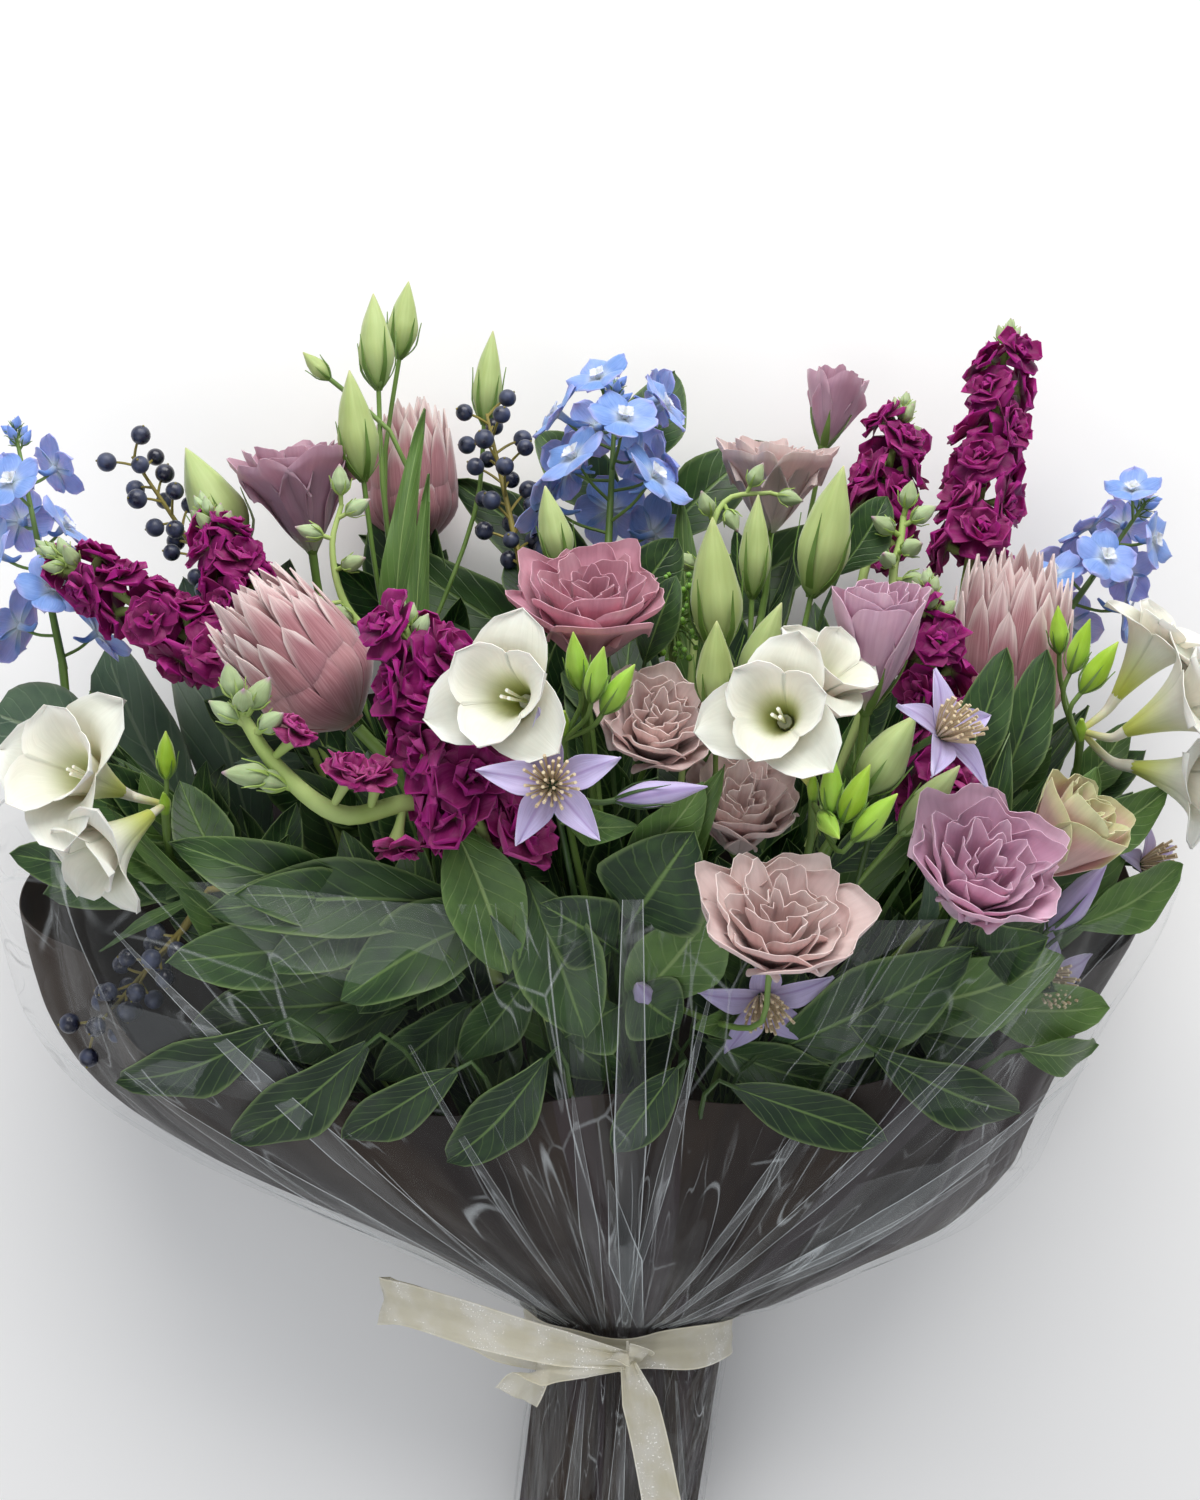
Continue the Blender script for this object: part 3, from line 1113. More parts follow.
def trumpet(bm, joint, at, face, tall, across):
    axis, foot = Vector(face).normalized(), footOf(at, face, tall)
    back = (foot - joint).length
    path = [joint, foot - axis * (back * 0.35), foot, foot + axis * (tall * 0.2)]
    rod(bm, path, 14, [(0, 1.4), (0.5, 2.2), (0.85, 3.4), (1, 3.2)], 9, 0, 0.35)
    matrix = standing(foot, axis, anyTurn())
    for i in range(6):
        reach, wide, spread, high, droop = tepals[i % 2]
        out, rise, half = across * reach, tall * 0.95, across * wide / 2
        placed = turned(matrix, i * math.pi / 3)
        wave, phase = draw.uniform(0.4, 1.0), anyTurn()

        def surface(u, v):
            far = 3 + (out - 3) * (0.62 * v + spread * v**3)
            up = rise * high * (1 - (1 - v) ** 1.6) - rise * droop * smoothStep((v - 0.66) / 0.34)
            side = half * outlineAt(v, 0.2, 0.6, 1.85)
            up += 0.16 * side * u * u * (1 - v)
            lift = 1.1 * v * math.sin(4 * u + phase) * wave + 2.2 * u * u * v
            return polar(placed, far, u * side / max(far, side * 0.9), up + lift)

        sheet(bm, surface, 12, 14, 0, draw.uniform(0.4, 0.6))
    for i in range(3):  # stamens and the style
        side = matrix.to_3x3() @ Vector((math.cos(i * 2.1), math.sin(i * 2.1), 0))
        path = [foot, foot + axis * (tall * 0.4) + side, foot + axis * (tall * 0.72) + side * 2]
        tube(bm, path, [(0, 0.6), (0.75, 0.6), (0.8, 1.1), (1, 0.9)], 5, 0, 0.9)


for n, plant in enumerate(freesia):
    node = Vector(plant["joint"])
    route = stemRoute(node, (0, 0.8, 0.6), n * 0.29)
    bm = newMesh()
    stemBody(bm, route, 1.9)
    for one in plant["buds"]:
        bud(bm, onRoute(route, 0.99), *one, 1, 0, draw.uniform(0.35, 0.7), 1.1)
    finishPiece(bm, "freshStem limeBud", "freesia_stem_" + plant["name"])
    bm = newMesh()
    along = (route[-1] - route[-2]).normalized()
    rod(bm, [node - along, node + along * 5, node + along * 11], 8, [(0, 2.2), (0.5, 3), (1, 1)], 8, 1, 0.5)
    for one in plant["blooms"]:
        trumpet(bm, node + along * 4, *one)
    finishPiece(bm, "creamPetal limeBud", "freesia_blooms_" + plant["name"], 0.35)
print("freesia made")


# ---- clematis: long-stalked stars with a tuft of stamens ----
# stars: place, way they face, width; leaves: share of the stem, tip, width
# buds: share of the stem, place, way they face, length, width
clematis = [
    {
        "name": "front", "stars": [((-20, 76, 274), (0, 0.1, 1), 58)],
        "buds": [(0.94, (26, 72, 262), (1, 0.15, 0.1), 38, 11)], "leaves": [(0.9, (16, 58, 256), 16)],
    },
    {
        "name": "low", "stars": [((74, -24, 194), (0.1, -0.5, 0.85), 60)],
        "buds": [(0.72, (20, -20, 202), (-0.2, 0.4, 0.9), 38, 12)], "leaves": [(0.85, (42, -34, 206), 18)],
    },
    {
        "name": "right",
        "stars": [((214, -22, 142), (0.5, -0.15, 0.85), 58), ((268, 34, 126), (0.7, 0.1, 0.7), 44)],
        "buds": [(0.8, (222, 22, 172), (0.6, 0.75, 0.2), 40, 15)], "leaves": [(0.85, (266, 66, 130), 26)],
    },
    {"name": "upper", "stars": [((146, 98, 252), (0.5, 0.45, 0.75), 54)], "buds": [], "leaves": []},
]


def starFlower(bm, at, face, across):
    axis, at, half = Vector(face).normalized(), Vector(at), across / 2
    matrix = standing(at - axis * 4, axis, 0.4)
    for i in range(5):
        long, tilt = half * draw.uniform(0.98, 1.1), 0.5 + draw.uniform(-0.12, 0.12)
        turn = i * fifthTurn + draw.uniform(-0.08, 0.08)
        form = (1.5, long, half * 0.5, tilt, -0.7, (0.45, 0.45, 1.15), 0.8, 1.0, 3)
        sheet(bm, openPetal(matrix, turn, form, anyTurn()), 8, 12, 0, draw.uniform(0.35, 0.7))
    for i in range(40):  # the tuft
        lean, turn = 0.55 * math.sqrt((i + 0.5) / 40), i * goldenTurn
        way = Vector((math.sin(lean) * math.cos(turn), math.sin(lean) * math.sin(turn), math.cos(lean)))
        side = matrix.to_3x3() @ Vector((math.cos(turn), math.sin(turn), 0))
        root = at - axis * 3 + side * (3.2 * math.sqrt(i / 40))
        end = root + (matrix.to_3x3() @ way) * draw.uniform(14, 18)
        path = [root, root.lerp(end, 0.6) + side * 0.5, end]
        tube(bm, path, [(0, 0.45), (0.6, 0.5), (1, 0.8)], 5, 1, draw.uniform(0.3, 0.8))
    tube(bm, [at - axis * 8, at - axis * 4, at - axis * 1], [(0, 1.7), (0.5, 4), (1, 3.4)], 8, 2, 0.5)


for n, plant in enumerate(clematis):
    (at, face, across), *others = plant["stars"]
    route = stemRoute(at, face, n * 0.43)
    bm = newMesh()
    stemBody(bm, route, 1.6, 2)
    for at, face, across in others:
        branch(bm, route, 0.74, at, face, 1.3, 2)
    for share, *one in plant["buds"]:
        bud(bm, onRoute(route, share), *one, 0, 2, 0.6)
    for one in plant["leaves"]:
        stemLeaf(bm, route, 3, None, *one)
    for one in plant["stars"]:
        starFlower(bm, *one)
    clematisLooks = "lavenderPetal stamenTuft darkStem midLeaf"
    finishPiece(bm, clematisLooks, "clematis_" + plant["name"], 0.4)
print("clematis made")


# ---- protea: goblets of overlapping downy bracts ----
protea = [
    {
        "name": "right", "foot": (192, 92, 128), "face": (0.1, 0.97, 0.2), "tall": 90, "across": 58,
        "leaves": [(0.8, (238, 112, 128), 20)],
    },
    {
        "name": "left", "foot": (-112, 100, 176), "face": (-0.62, 0.76, 0.2), "tall": 80, "across": 56,
        "leaves": [(0.82, (-92, 146, 186), 15)],
    },
    {
        "name": "back", "foot": (-100, 194, 36), "face": (-0.05, 0.99, 0.05), "tall": 78, "across": 50,
        "leaves": [],
    },
]
bractRings = [  # bracts, the belly's and the tip's radius, the tip's height
    (9, 0.5, 0.3, 1.0), (11, 0.68, 0.5, 1.0), (12, 0.84, 0.7, 0.98), (13, 0.94, 0.86, 0.93),
    (13, 1.0, 0.98, 0.8), (12, 1.0, 0.96, 0.56),
]


def goblet(bm, head):
    axis = Vector(head["face"]).normalized()
    base, half, tall = Vector(head["foot"]) + axis * 3, head["across"] / 2, head["tall"]
    matrix = standing(base, axis, anyTurn())
    core = [base + axis * (tall * share) for share in (0.0, 0.3, 0.6, 0.86)]
    rod(bm, core, 12, [(0, 6), (0.4, half * 0.55), (0.75, half * 0.35), (1, 2)], 12, 0, 0.2)
    for ring, (count, belly, spread, high) in enumerate(bractRings):
        for i in range(count):
            placed = turned(matrix, ringTurn(i, ring, count, 0.06))
            wide = 2 * math.pi * half / count * 1.12 * (0.8 + 0.2 * belly)
            lean = draw.uniform(0.86, 1.06)

            def surface(u, v):
                far = 4 + (half * belly - 4) * swell(v * 1.7) + half * (spread - belly) * v**2 * 0.8
                turnAway = u * wide / 2 * outlineAt(v, 0.6, 0.5, 1.6) / max(6, far)
                bulge = 1.2 * (1 - u * u) * math.sin(math.pi * v)
                return polar(placed, far + bulge, turnAway, tall * high * lean * v)

            sheet(bm, surface, 6, 10, 0, draw.uniform(0.3, 0.7))


for n, plant in enumerate(protea):
    route = stemRoute(plant["foot"], plant["face"], n * 0.53)
    bm = newMesh()
    stemBody(bm, route, 2.8)
    for one in plant["leaves"]:
        stemLeaf(bm, route, 1, None, *one)
    finishPiece(bm, "freshStem darkLeaf", "protea_stem_" + plant["name"])
    bm = newMesh()
    goblet(bm, plant)
    finishPiece(bm, "proteaBract", "protea_head_" + plant["name"], 0.8)
print("protea made")


# ---- berry twigs ----
berries = [
    {"name": "left", "foot": (-184, 160, 92), "tip": (-236, 238, 96), "berries": 22, "reach": 18},
    {"name": "centre", "foot": (-38, 176, 104), "tip": (-58, 262, 82), "berries": 22, "reach": 21},
    {
        "name": "low_left", "foot": (-196, 6, 160), "tip": (-246, -46, 132), "berries": 22, "reach": 16,
    },
]

for n, plant in enumerate(berries):
    foot, tip, axis, route = spikeOf(plant, n * 0.71)
    bm = newMesh()
    stemBody(bm, route, 1.9, 1)
    rod(bm, [foot - axis * 3, foot.lerp(tip, 0.5), tip], 12, [(0, 1.9), (1, 0.8)], 6, 1, 0.5)
    for i in range(plant["berries"]):
        root = foot.lerp(tip, (i + 0.6) / plant["berries"])
        out = sideways(axis, i * goldenTurn, (1, 0, draw.uniform(0.4, 0.9))).normalized()
        centre = root + out * (plant["reach"] * draw.uniform(0.55, 1.0))
        radius = draw.uniform(4.2, 5.1)
        rod(bm, [root, root.lerp(centre, 0.5) + axis, centre], 6, [(0, 0.8), (1, 0.6)], 5, 1, 0.6)
        ball(bm, centre, radius, 0, draw.uniform(0.2, 0.8), 3)
        ball(bm, centre + out * radius, 0.7, 1, 0.3, 1)
    finishPiece(bm, "berrySkin brownTwig", "berry_twig_" + plant["name"])
print("berries made")


# ---- foliage ----
roundLeaf = {"arch": 0.06, "fold": 0.1, "wave": 0.02, "outline": (0.25, 0.5, 2.0)}
# leaves: share of the stem, tip, width, and which way the blade faces where that isn't up
foliage = [
    {
        "name": "eucalyptus_left", "look": "waxyLeaf", "slot": "leaf_grey", "shape": roundLeaf,
        "foot": (-236, 92, 132),
        "leaves": [
            (1, (-292, 108, 140), 46), (0.97, (-262, 64, 150), 44), (0.9, (-232, 26, 150), 40),
            (0.86, (-252, 142, 84), 42, (-0.3, 0, 1)), (0.78, (-218, 180, 60), 40),
        ],
    },
    {
        "name": "broad_left", "look": "darkLeaf", "slot": "leaf_dark", "foot": (-96, 20, 190),
        "leaves": [
            (1, (-162, 26, 212), 28), (0.99, (-150, -8, 206), 30), (0.95, (-108, -28, 204), 36),
            (0.92, (-60, -10, 218), 38), (0.88, (-178, -28, 180), 34), (0.97, (-196, 48, 190), 34),
        ],
    },
    {
        "name": "broad_centre", "look": "darkLeaf", "slot": "leaf_dark", "foot": (10, 10, 222),
        "leaves": [
            (1, (40, 56, 250), 52), (0.97, (-26, 24, 236), 36), (0.93, (36, -34, 200), 34),
            (0.9, (-16, -40, 196), 34),
        ],
    },
    {
        "name": "broad_right", "look": "darkLeaf", "slot": "leaf_dark", "foot": (172, -4, 172),
        "leaves": [
            (1, (200, 6, 206), 30), (0.98, (254, 70, 150), 30), (0.93, (150, -40, 182), 40),
            (0.9, (112, -34, 198), 36), (0.88, (190, -56, 142), 30), (0.99, (182, 98, 210), 18),
        ],
    },
    {
        "name": "back", "look": "darkLeaf", "slot": "leaf_dark", "foot": (20, 232, 50),
        "leaves": [
            (1, (40, 292, 40), 34), (0.96, (-34, 262, 30), 34), (0.93, (92, 256, 24), 36),
            (0.88, (-80, 236, 26), 36), (0.85, (140, 216, 26), 36), (0.8, (-130, 206, 28), 36),
        ],
    },
]

for n, plant in enumerate(foliage):
    base = Vector(plant["foot"])
    route = stemRoute(base, base - Vector(binding["neck"]), n * 0.83)
    bm = newMesh()
    stemBody(bm, route, 2, 1)
    for one in plant["leaves"]:
        stemLeaf(bm, route, 0, plant.get("shape"), *one)
    finishPiece(bm, plant["look"] + " darkStem", "foliage_" + plant["name"])
print("foliage made")


# ---- the ribbon: sheer organza round the neck, its knot, one loop and two tails ----
ribbonForm = {
    "wide": 24, "middle": -210, "clear": 2.3, "knot": (14, -210, 117), "knotSize": (6.5, 4.4, 8),
    "loop": [
        (14, -210, 121), (-22, -204, 119), (-62, -197, 108), (-98, -192, 90), (-112, -193, 78),
        (-96, -197, 74), (-66, -203, 89), (-50, -208, 98), (-14, -212, 113), (12, -212, 117),
    ],
    "shortTail": [(12, -212, 119), (-14, -212, 117), (-30, -216, 111), (-42, -234, 103)],
    "longTail": [(14, -212, 120), (22, -240, 118), (30, -280, 112), (36, -318, 106), (38, -350, 101)],
}


def directionAt(rows, place):  # a direction from rows of (place, direction)
    return Vector([between([(at, way[k]) for at, way in rows], place) for k in range(3)])


def strip(bm, points, count, widths, facings, ripples):
    # a length of ribbon along a route: by share, its width, which way it faces and how it gathers across
    route, sides, last = routeThrough(points, count), [], count - 1
    for k in range(count):
        along = (route[min(k + 1, last)] - route[max(k - 1, 0)]).normalized()
        facing = directionAt(facings, k / last)
        side = (facing - along * facing.dot(along)).normalized()
        sides.append((side, along.cross(side)))
    phase = anyTurn()

    def surface(u, v):
        k = min(last, round(v * last))
        side, up = sides[k]
        fold = between(ripples, v) * (math.sin(5.5 * u + phase + 2 * v) + 0.4 * math.sin(11 * u + 3 * phase))
        return route[k] + side * (u * between(widths, v) / 2) + up * fold

    sheet(bm, surface, 14, last)


def ribbonMesh():
    bm = newMesh()
    half = ribbonForm["wide"] / 2

    def band(u, v):  # round the neck, gathered a little towards the knot
        turn, nearKnot = 2 * math.pi * v, 1 - min(v, 1 - v) * 9
        gather = 1 - 0.35 * smoothStep(nearKnot)
        y = ribbonForm["middle"] + half * u * gather + 1.5 * math.sin(2 * turn)
        crumple = 0.7 * math.sin(9 * u + 3 * turn) * (0.4 + 0.6 * smoothStep(1 - min(v, 1 - v) * 6))
        return onWrap(turn, y, -ribbonForm["clear"], 0, crumple)

    sheet(bm, band, 12, 110)
    strip(
        bm, ribbonForm["loop"], 70, [(0, 9), (0.12, 19), (0.3, 25), (0.75, 24), (0.92, 14), (1, 8)],
        [(0, (0, 1, 0)), (0.45, (0, 1, 0.25)), (1, (0, 0.9, 0.3))],
        [(0, 1.6), (0.2, 0.7), (0.5, 0.3), (0.85, 0.8), (1, 1.6)],
    )
    strip(
        bm, ribbonForm["shortTail"], 28, [(0, 8), (0.3, 17), (1, 24)],
        [(0, (0, 1, 0)), (1, (0.85, 0.45, 0.2))], [(0, 1.4), (0.4, 0.6), (1, 0.5)],
    )
    strip(
        bm, ribbonForm["longTail"], 60, [(0, 8), (0.14, 18), (1, 24)],
        [(0, (1, 0, 0)), (0.5, (1, 0, 0.3)), (1, (0.9, 0, -0.35))], [(0, 1.4), (0.2, 0.7), (1, 0.5)],
    )
    wide, along, deep = ribbonForm["knotSize"]
    ring = []
    for i in range(19):
        sin, cos = math.sin(0.35 * i), math.cos(0.35 * i)
        ring.append(Vector(ribbonForm["knot"]) + Vector((wide * sin, along * cos, deep * cos - 1)))
    facings = [(0, (1, 0.6, 0)), (1, (1, 0.3, 0))]
    strip(bm, ring, 40, [(0, 12), (0.5, 15), (1, 12)], facings, [(0, 0.9), (1, 0.9)])
    return bm


ribbon = finishPiece(ribbonMesh(), "organza", "ribbon", 0.25, "organzaRibbon")
print("ribbon made")


# ---- the leaves, fine stems and small buds that close the gaps between the flowers ----
fill = {
    "fillLeavesBroad": {  # width and where the blade starts are shares of its length
        "count": 300, "length": (42, 80), "width": (0.32, 0.5), "spread": 0.75, "start": 0.1, "stalk": True,
    },
    "fillLeavesNarrow": {
        "count": 110, "length": (60, 105), "width": (0.07, 0.14), "spread": 0.25, "start": 0, "stalk": False,
    },
    "tries": 60, "share": (0.58, 0.97), "front": -70, "paleShare": 0.3,
    "skyline": [  # how high the mass of leaves stands, seen from above and carried down to the table
        (-333, 110), (-278, 130), (-222, 165), (-167, 200), (-111, 250), (-56, 250), (0, 205), (56, 215),
        (111, 215), (167, 205), (222, 180), (278, 150), (333, 90),
    ],
    "top": [(-60, 150), (0, 178), (60, 188), (120, 150), (200, 96), (300, 60)],
    "bottom": [(-60, 30), (0, 16), (300, 12)],
    "half": [(-60, 222), (0, 252), (60, 275), (300, 285)],
}
leafLooks = "darkLeaf darkStem midLeaf"


def seenAt(point):  # where a point shows on the table, seen from the camera's place
    far = eye["height"] / (eye["height"] - point.z)
    return point.x * far, eye["middle"] + (point.y - eye["middle"]) * far


def fits(tip):
    across, up = seenAt(tip)
    inside = between(fill["bottom"], tip.y) < tip.z < between(fill["top"], tip.y)
    inside = inside and abs(tip.x) < between(fill["half"], tip.y)
    return inside and tip.y > fill["front"] and up < between(fill["skyline"], across)


def fillLeaf(bm, kind):  # on one of the stems, a leaf whose tip stays among the others
    for _ in range(fill["tries"]):
        route = draw.choice(stemRoutes)
        share = draw.uniform(*fill["share"])
        root = onRoute(route, share)
        along = (onRoute(route, share + 0.03) - onRoute(route, share - 0.03)).normalized()
        side = Vector((draw.uniform(-1, 1), draw.uniform(-0.5, 0.5), draw.uniform(-0.7, 1)))
        long = draw.uniform(*kind["length"])
        tip = root + (along + side * kind["spread"]).normalized() * long
        if fits(tip):
            break
    else:
        return
    wide = long * draw.uniform(*kind["width"])
    facing = Vector((draw.uniform(-0.5, 0.5), draw.uniform(-0.3, 0.6), 1))
    shape = {"arch": draw.uniform(-0.05, 0.16), "fold": draw.uniform(0.15, 0.5), "wave": 0.02}
    if kind["stalk"]:
        middle = root.lerp(tip, 0.14)
        tube(bm, [root, root.lerp(middle, 0.5), middle], [(0, 0.9), (1, 0.8)], 4, 1, 0.4)
    high = smoothStep((tip.z - 50) / 110)  # the deeper it lies, the darker it is
    look = 2 if draw.random() < fill["paleShare"] * high else 0
    tone = draw.uniform(0, 0.25) + 0.6 * high * draw.random()
    leaf(bm, root.lerp(tip, kind["start"]), tip, wide, facing, look, tone, shape, (4, 8))


for name in ("fillLeavesBroad", "fillLeavesNarrow"):
    bm = newMesh()
    for _ in range(fill[name]["count"]):
        fillLeaf(bm, fill[name])
    finishPiece(bm, leafLooks, "", 0.4, name)

# leaves that the photograph shows one by one: root, tip, width and which way the blade faces
frontLeaves = [
    ((-58, 20, 196), (-176, 18, 204), 36, (0, 0.2, 1)),
    ((-100, 2, 190), (-196, -6, 196), 34, (0, -0.2, 1)),
    ((-38, 20, 204), (-116, -22, 206), 40, (0.2, 0.5, 1)),
    ((-176, 34, 158), (-268, 20, 136), 32, (-0.2, 0.2, 1)),
    ((-226, 30, 140), (-284, 40, 140), 24, (-0.4, 0, 1)),
    ((-90, -30, 170), (-150, -50, 176), 30, (0, -0.4, 1)),
    ((-130, -16, 164), (-196, -46, 146), 34, (0, -0.4, 1)),
    ((-60, -26, 186), (-104, -62, 178), 30, (0.2, -0.5, 1)),
    ((-30, -10, 196), (-64, -52, 186), 28, (0.2, -0.5, 1)),
    ((14, -24, 196), (52, 26, 226), 44, (0.5, 0.1, 1)),
    ((50, -46, 168), (120, -66, 172), 32, (0, -0.5, 1)),
    ((78, -50, 176), (170, 0, 192), 46, (0.1, -0.3, 1)),
    ((130, -30, 168), (216, -6, 168), 40, (0.2, -0.3, 1)),
    ((176, -30, 150), (246, -34, 136), 34, (0.4, -0.4, 1)),
    ((200, 30, 170), (226, 82, 190), 22, (0.3, 0.2, 1)), ((212, 42, 168), (264, 72, 172), 26, (0.5, 0, 1)),
    ((178, 60, 176), (204, 136, 186), 26, (0.1, 0, 1)),
    ((160, 70, 190), (182, 136, 204), 24, (-0.2, 0, 1)),
    ((226, 6, 150), (278, 36, 146), 30, (0.5, -0.2, 1)), ((8, 150, 170), (36, 188, 176), 30, (0.2, 0, 1)),
    ((20, 130, 196), (34, 168, 206), 20, (-0.2, 0, 1)),
    ((116, 176, 130), (140, 214, 126), 26, (0.3, 0, 1)),
    ((-24, -30, 190), (10, -60, 184), 26, (0, -0.5, 1)),
    ((-32, 34, 228), (-6, -38, 212), 40, (0.1, -0.2, 1)),
    ((-64, 58, 228), (-40, -8, 226), 36, (0.1, 0, 1)), ((10, 40, 230), (44, 76, 250), 26, (0.4, -0.2, 1)),
]
pressed = {  # leaves held between the paper and the film, seen from above: root, tip and width
    "inside": 5, "facing": (0.1, -0.31, 1), "dark": 0.2,
    "leaves": [
        ((-146, -34), (-228, -66), 30), ((-104, -42), (-172, -92), 32), ((-64, -52), (-118, -88), 26),
        ((-24, -46), (-70, -98), 30), ((34, -52), (6, -92), 24), ((60, -62), (132, -90), 28),
        ((124, -46), (202, -84), 30), ((196, -50), (244, -54), 20),
    ],
}
frontShape = {"arch": 0.07, "fold": 0.22, "wave": 0.025, "outline": (0.12, 0.5, 1.5)}


def frontLeaf(bm, root, tip, wide, facing, shade=1):
    root, tip = Vector(root), Vector(tip)
    stalk = [root.lerp(Vector(binding["neck"]), 0.35), root - (tip - root) * 0.12, root.lerp(tip, 0.06)]
    rod(bm, stalk, 8, [(0, 1.5), (1, 1)], 5, 1, 0.4)
    look = 2 if tip.z > 215 or tip.x > 215 else 0
    leaf(bm, root, tip, wide, facing, look, draw.uniform(0.3, 0.8) * shade, frontShape)


bm = newMesh()
for one in frontLeaves:
    frontLeaf(bm, *one)
for root, tip, wide in pressed["leaves"]:
    root, tip = (onFront(*place, -pressed["inside"]) for place in (root, tip))
    frontLeaf(bm, root, tip, wide, pressed["facing"], pressed["dark"])
finishPiece(bm, leafLooks, "", 0.5, "frontLeaves")

tuft = {  # fine yellow-green stalks between the flowers
    "at": Vector((34, 148, 176)), "root": Vector((0, 30, 14)),
    "stalks": 90, "length": (12, 24), "knobs": (1.1, 1.9),
}
bm = newMesh()
for i in range(tuft["stalks"]):
    way = Vector((draw.gauss(0, 1), draw.gauss(0.3, 1), abs(draw.gauss(0.6, 0.8)))).normalized()
    end = tuft["at"] + way * draw.uniform(*tuft["length"])
    rod(bm, [tuft["at"] - tuft["root"], tuft["at"], end], 6, [(0, 0.5), (1, 0.4)], 4, 0, 0.6)
    ball(bm, end, draw.uniform(*tuft["knobs"]), 1, draw.uniform(0.4, 1), 1)
finishPiece(bm, "freshStem limeBud", "", 0.5, "fluffyTuft")
print("fill leaves made")


# ---- downy side shoots of the stock, and a spray of small pale buds ----
shoots = [  # each: name, route, radius, and its parts as (share, side, length, width, kind)
    {
        "name": "shootA",
        "route": [(-74, 66, 218), (-112, 62, 232), (-140, 84, 236), (-156, 108, 236)],
        "radius": 4.2, "parts": [
            (1.0, (-0.2, 1, 0.3), 15, 10, "bud"), (0.96, (0.6, 0.9, 0.2), 15, 10, "bud"),
            (0.93, (-0.9, 0.6, 0.2), 14, 9, "bud"), (0.9, (0.8, 0.5, 0.6), 14, 9, "bud"),
            (0.97, (0.2, 0.8, 0.9), 12, 9, "bud"), (0.72, (-1, 0.1, 0.4), 20, 11, "bud"),
            (0.66, (-1, 0.35, 0.2), 18, 10, "bud"), (0.8, (0.9, 0.8, 0.5), 20, 12, "floret"),
            (0.55, (0.6, 1, 0.4), 24, 15, "floret"), (0.3, (-0.2, -1, 0.2), 22, 15, "floret"),
            (0.42, (0.3, 1, 0.6), 20, 14, "floret"),
        ],
    },
    {
        "name": "shootB",
        "route": [(-100, 132, 140), (-122, 160, 146), (-128, 188, 146), (-124, 208, 142)],
        "radius": 2, "parts": [
            (1.0, (0, 1, 0.3), 14, 9, "bud"), (0.94, (0.9, 0.5, 0.2), 13, 8, "bud"),
            (0.86, (-1, 0.3, 0.3), 13, 8, "bud"), (0.74, (0.9, 0.3, 0.5), 13, 8, "bud"),
            (0.62, (-1, -0.2, 0.4), 16, 9, "bud"), (0.5, (-0.9, 0.5, 0.5), 15, 9, "bud"),
            (0.4, (0.9, 0.1, 0.6), 16, 9, "bud"),
        ],
    },
    {
        "name": "shootC",
        "route": [(46, 150, 150), (52, 190, 140), (62, 212, 130), (84, 216, 124)],
        "radius": 1.8, "parts": [
            (1.0, (1, -0.3, 0.3), 12, 8, "bud"), (0.9, (0.5, 0.9, 0.3), 12, 8, "bud"),
            (0.8, (0.4, -0.9, 0.4), 12, 8, "bud"), (0.7, (-0.4, 1, 0.4), 12, 8, "bud"),
            (0.6, (0.7, -0.6, 0.5), 12, 8, "bud"), (0.5, (-0.8, 0.5, 0.4), 12, 8, "bud"),
        ],
    },
    {
        "name": "shootD",
        "route": [(140, 150, 140), (142, 178, 136), (146, 192, 132), (148, 204, 128)],
        "radius": 2.6, "parts": [
            (1.0, (0.2, 1, 0.3), 13, 9, "bud"), (0.95, (1, 0.6, 0.3), 13, 9, "bud"),
            (0.9, (-1, 0.6, 0.4), 13, 9, "bud"), (0.82, (0.6, 0.2, 1), 13, 9, "bud"),
            (0.75, (-0.5, 0.4, 1), 12, 8, "bud"), (0.7, (0.9, -0.1, 0.5), 13, 9, "bud"),
        ],
    },
]
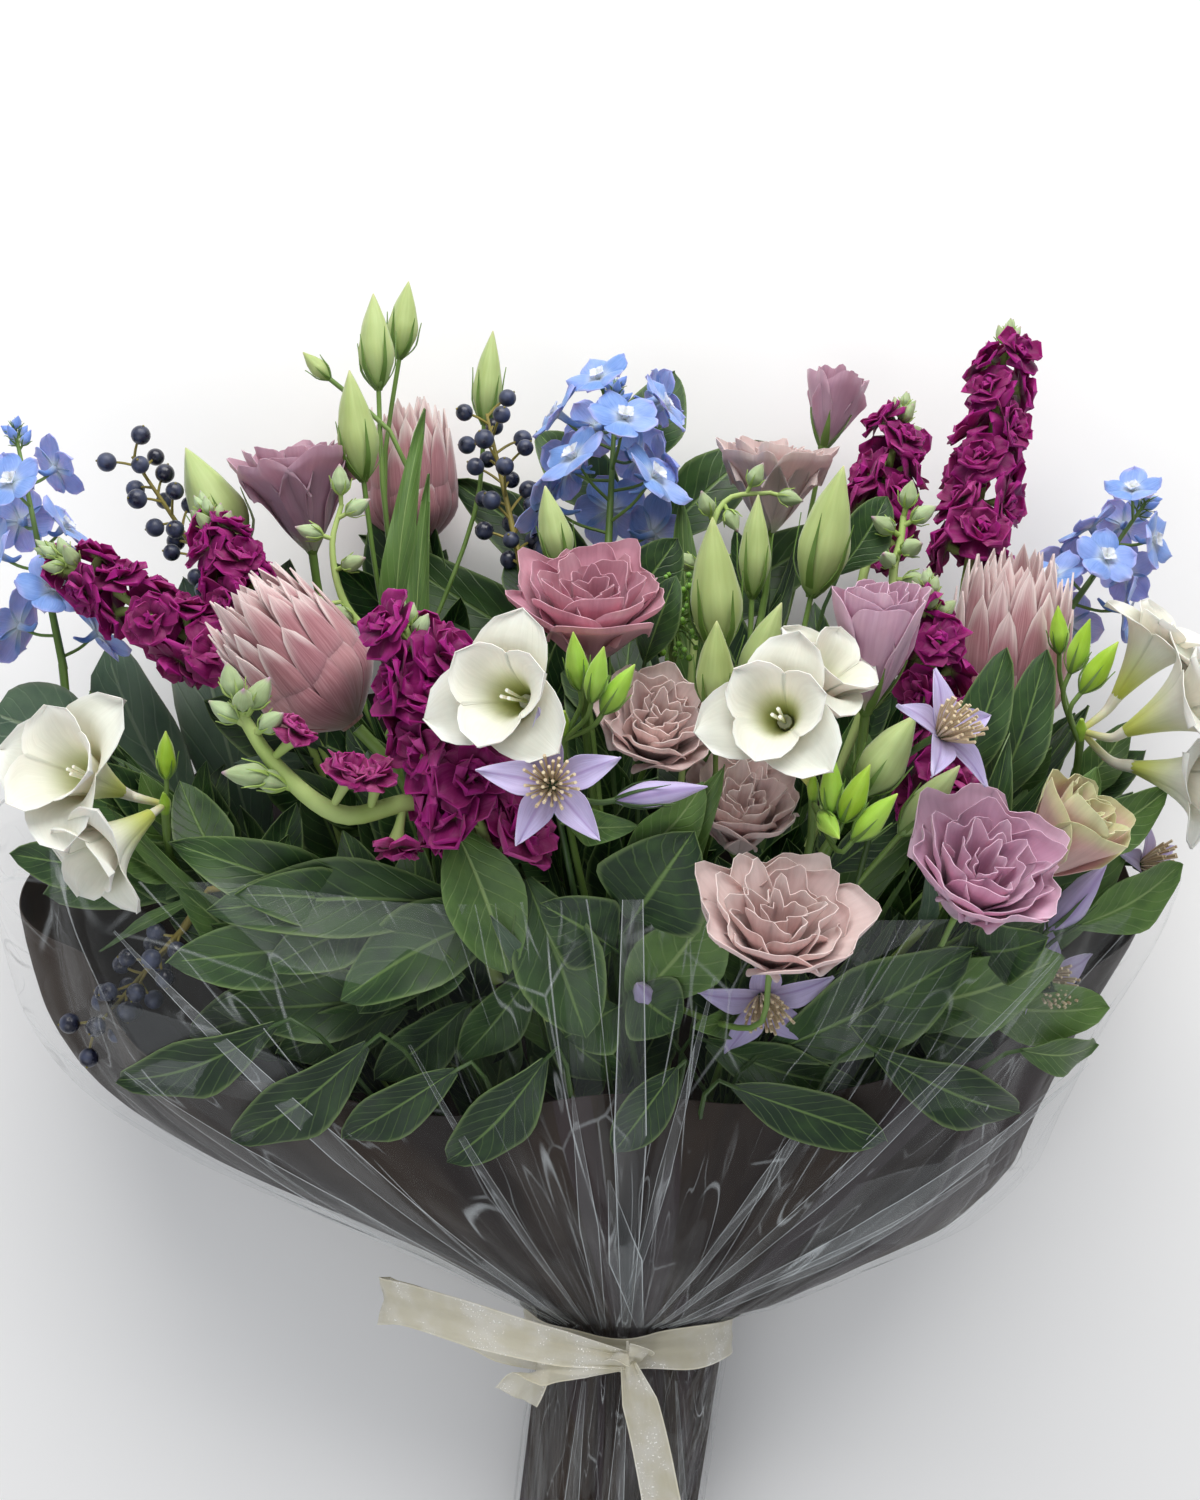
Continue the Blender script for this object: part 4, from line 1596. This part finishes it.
for shoot in shoots:
    bm = newMesh()
    start, radius = Vector(shoot["route"][0]).lerp(Vector(binding["neck"]), 0.3), shoot["radius"]
    route = routeThrough([start] + shoot["route"], 40)
    tube(bm, route, [(0, radius * 0.8), (0.7, radius), (1, radius * 0.6)], 10, 1, 0.7)
    for share, side, long, wide, kind in shoot["parts"]:
        root, out = onRoute(route, min(0.995, 0.35 + 0.65 * share)), Vector(side).normalized()
        if kind == "floret":
            path = [root, root + out * (long * 0.5), root + out * (long * 0.85)]
            rod(bm, path, 8, [(0, 1.4), (0.6, 2.4), (1, 4)], 8, 1, 0.7)
            doubleFloret(bm, root + out * (long * 0.45), out, long * 0.5, wide * 0.78, 0.75)
        else:
            at, stalk = root + out * (long * 0.95), radius * 0.35 + 0.4
            bud(bm, root, at, out, long, wide, 2, 1, draw.uniform(0.3, 0.8), stalk)
    finishPiece(bm, "magentaPetal downyStem stockBud", "", 0.5, shoot["name"])
print("shoots made")


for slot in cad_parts["stem_twine"].material_slots:  # the twine keeps its CAD shape
    slot.material = looks["juteTwine"]


# ---- stage, in metres: a pale table, a large soft light behind the flowers, a camera straight above ----
stage = {
    "floor": 3, "sky": (0.93, 0.95, 1, 1), "skyStrength": 0.42,
    "sensor": 36, "focal": 1891, "pixels": 1200,  # the focal length is in the photo's own pixels
    "lamps": [  # place, aim, width, height, watts, colour
        ("window", (0.15, 1.7, 1.2), (0, 0.05, 0.12), 2.0, 1.2, 46, (1, 0.98, 0.96)),
        ("fill", (-0.7, -1.1, 2.1), (0, -0.1, 0.1), 2.2, 1.8, 14, (0.97, 0.98, 1)),
    ],
}


def placeInScene(name, data):
    placed = bpy.data.objects.new(name, data)
    bpy.context.scene.collection.objects.link(placed)
    return placed


floorMesh = bmesh.new()
bmesh.ops.create_grid(floorMesh, x_segments=1, y_segments=1, size=stage["floor"])
floor = placeInScene("floor", bpy.data.meshes.new("floor"))
floorMesh.to_mesh(floor.data)
floorMesh.free()
floor.data.materials.append(looks["paleTable"])

for name, place, aim, wide, high, power, colour in stage["lamps"]:
    light = bpy.data.lights.new(name, "AREA")
    light.shape, light.size, light.size_y, light.energy, light.color = "RECTANGLE", wide, high, power, colour
    lamp = placeInScene(name, light)
    turn = (Vector(aim) - Vector(place)).to_track_quat("-Z", "Y")
    lamp.location, lamp.rotation_euler = place, turn.to_euler()

world = bpy.data.worlds.new("studio")
world.use_nodes = True
sky = world.node_tree.nodes["Background"].inputs
sky["Color"].default_value, sky["Strength"].default_value = stage["sky"], stage["skyStrength"]
bpy.context.scene.world = world
bpy.context.scene.view_settings.view_transform = "Standard"

lens = bpy.data.cameras.new("camera")
lens.sensor_fit, lens.sensor_width = "HORIZONTAL", stage["sensor"]
lens.lens = stage["sensor"] * stage["focal"] / stage["pixels"]
camera = placeInScene("camera", lens)
camera.location = (0, eye["middle"] * mm, eye["height"] * mm)
bpy.context.scene.camera = camera

print("size written")
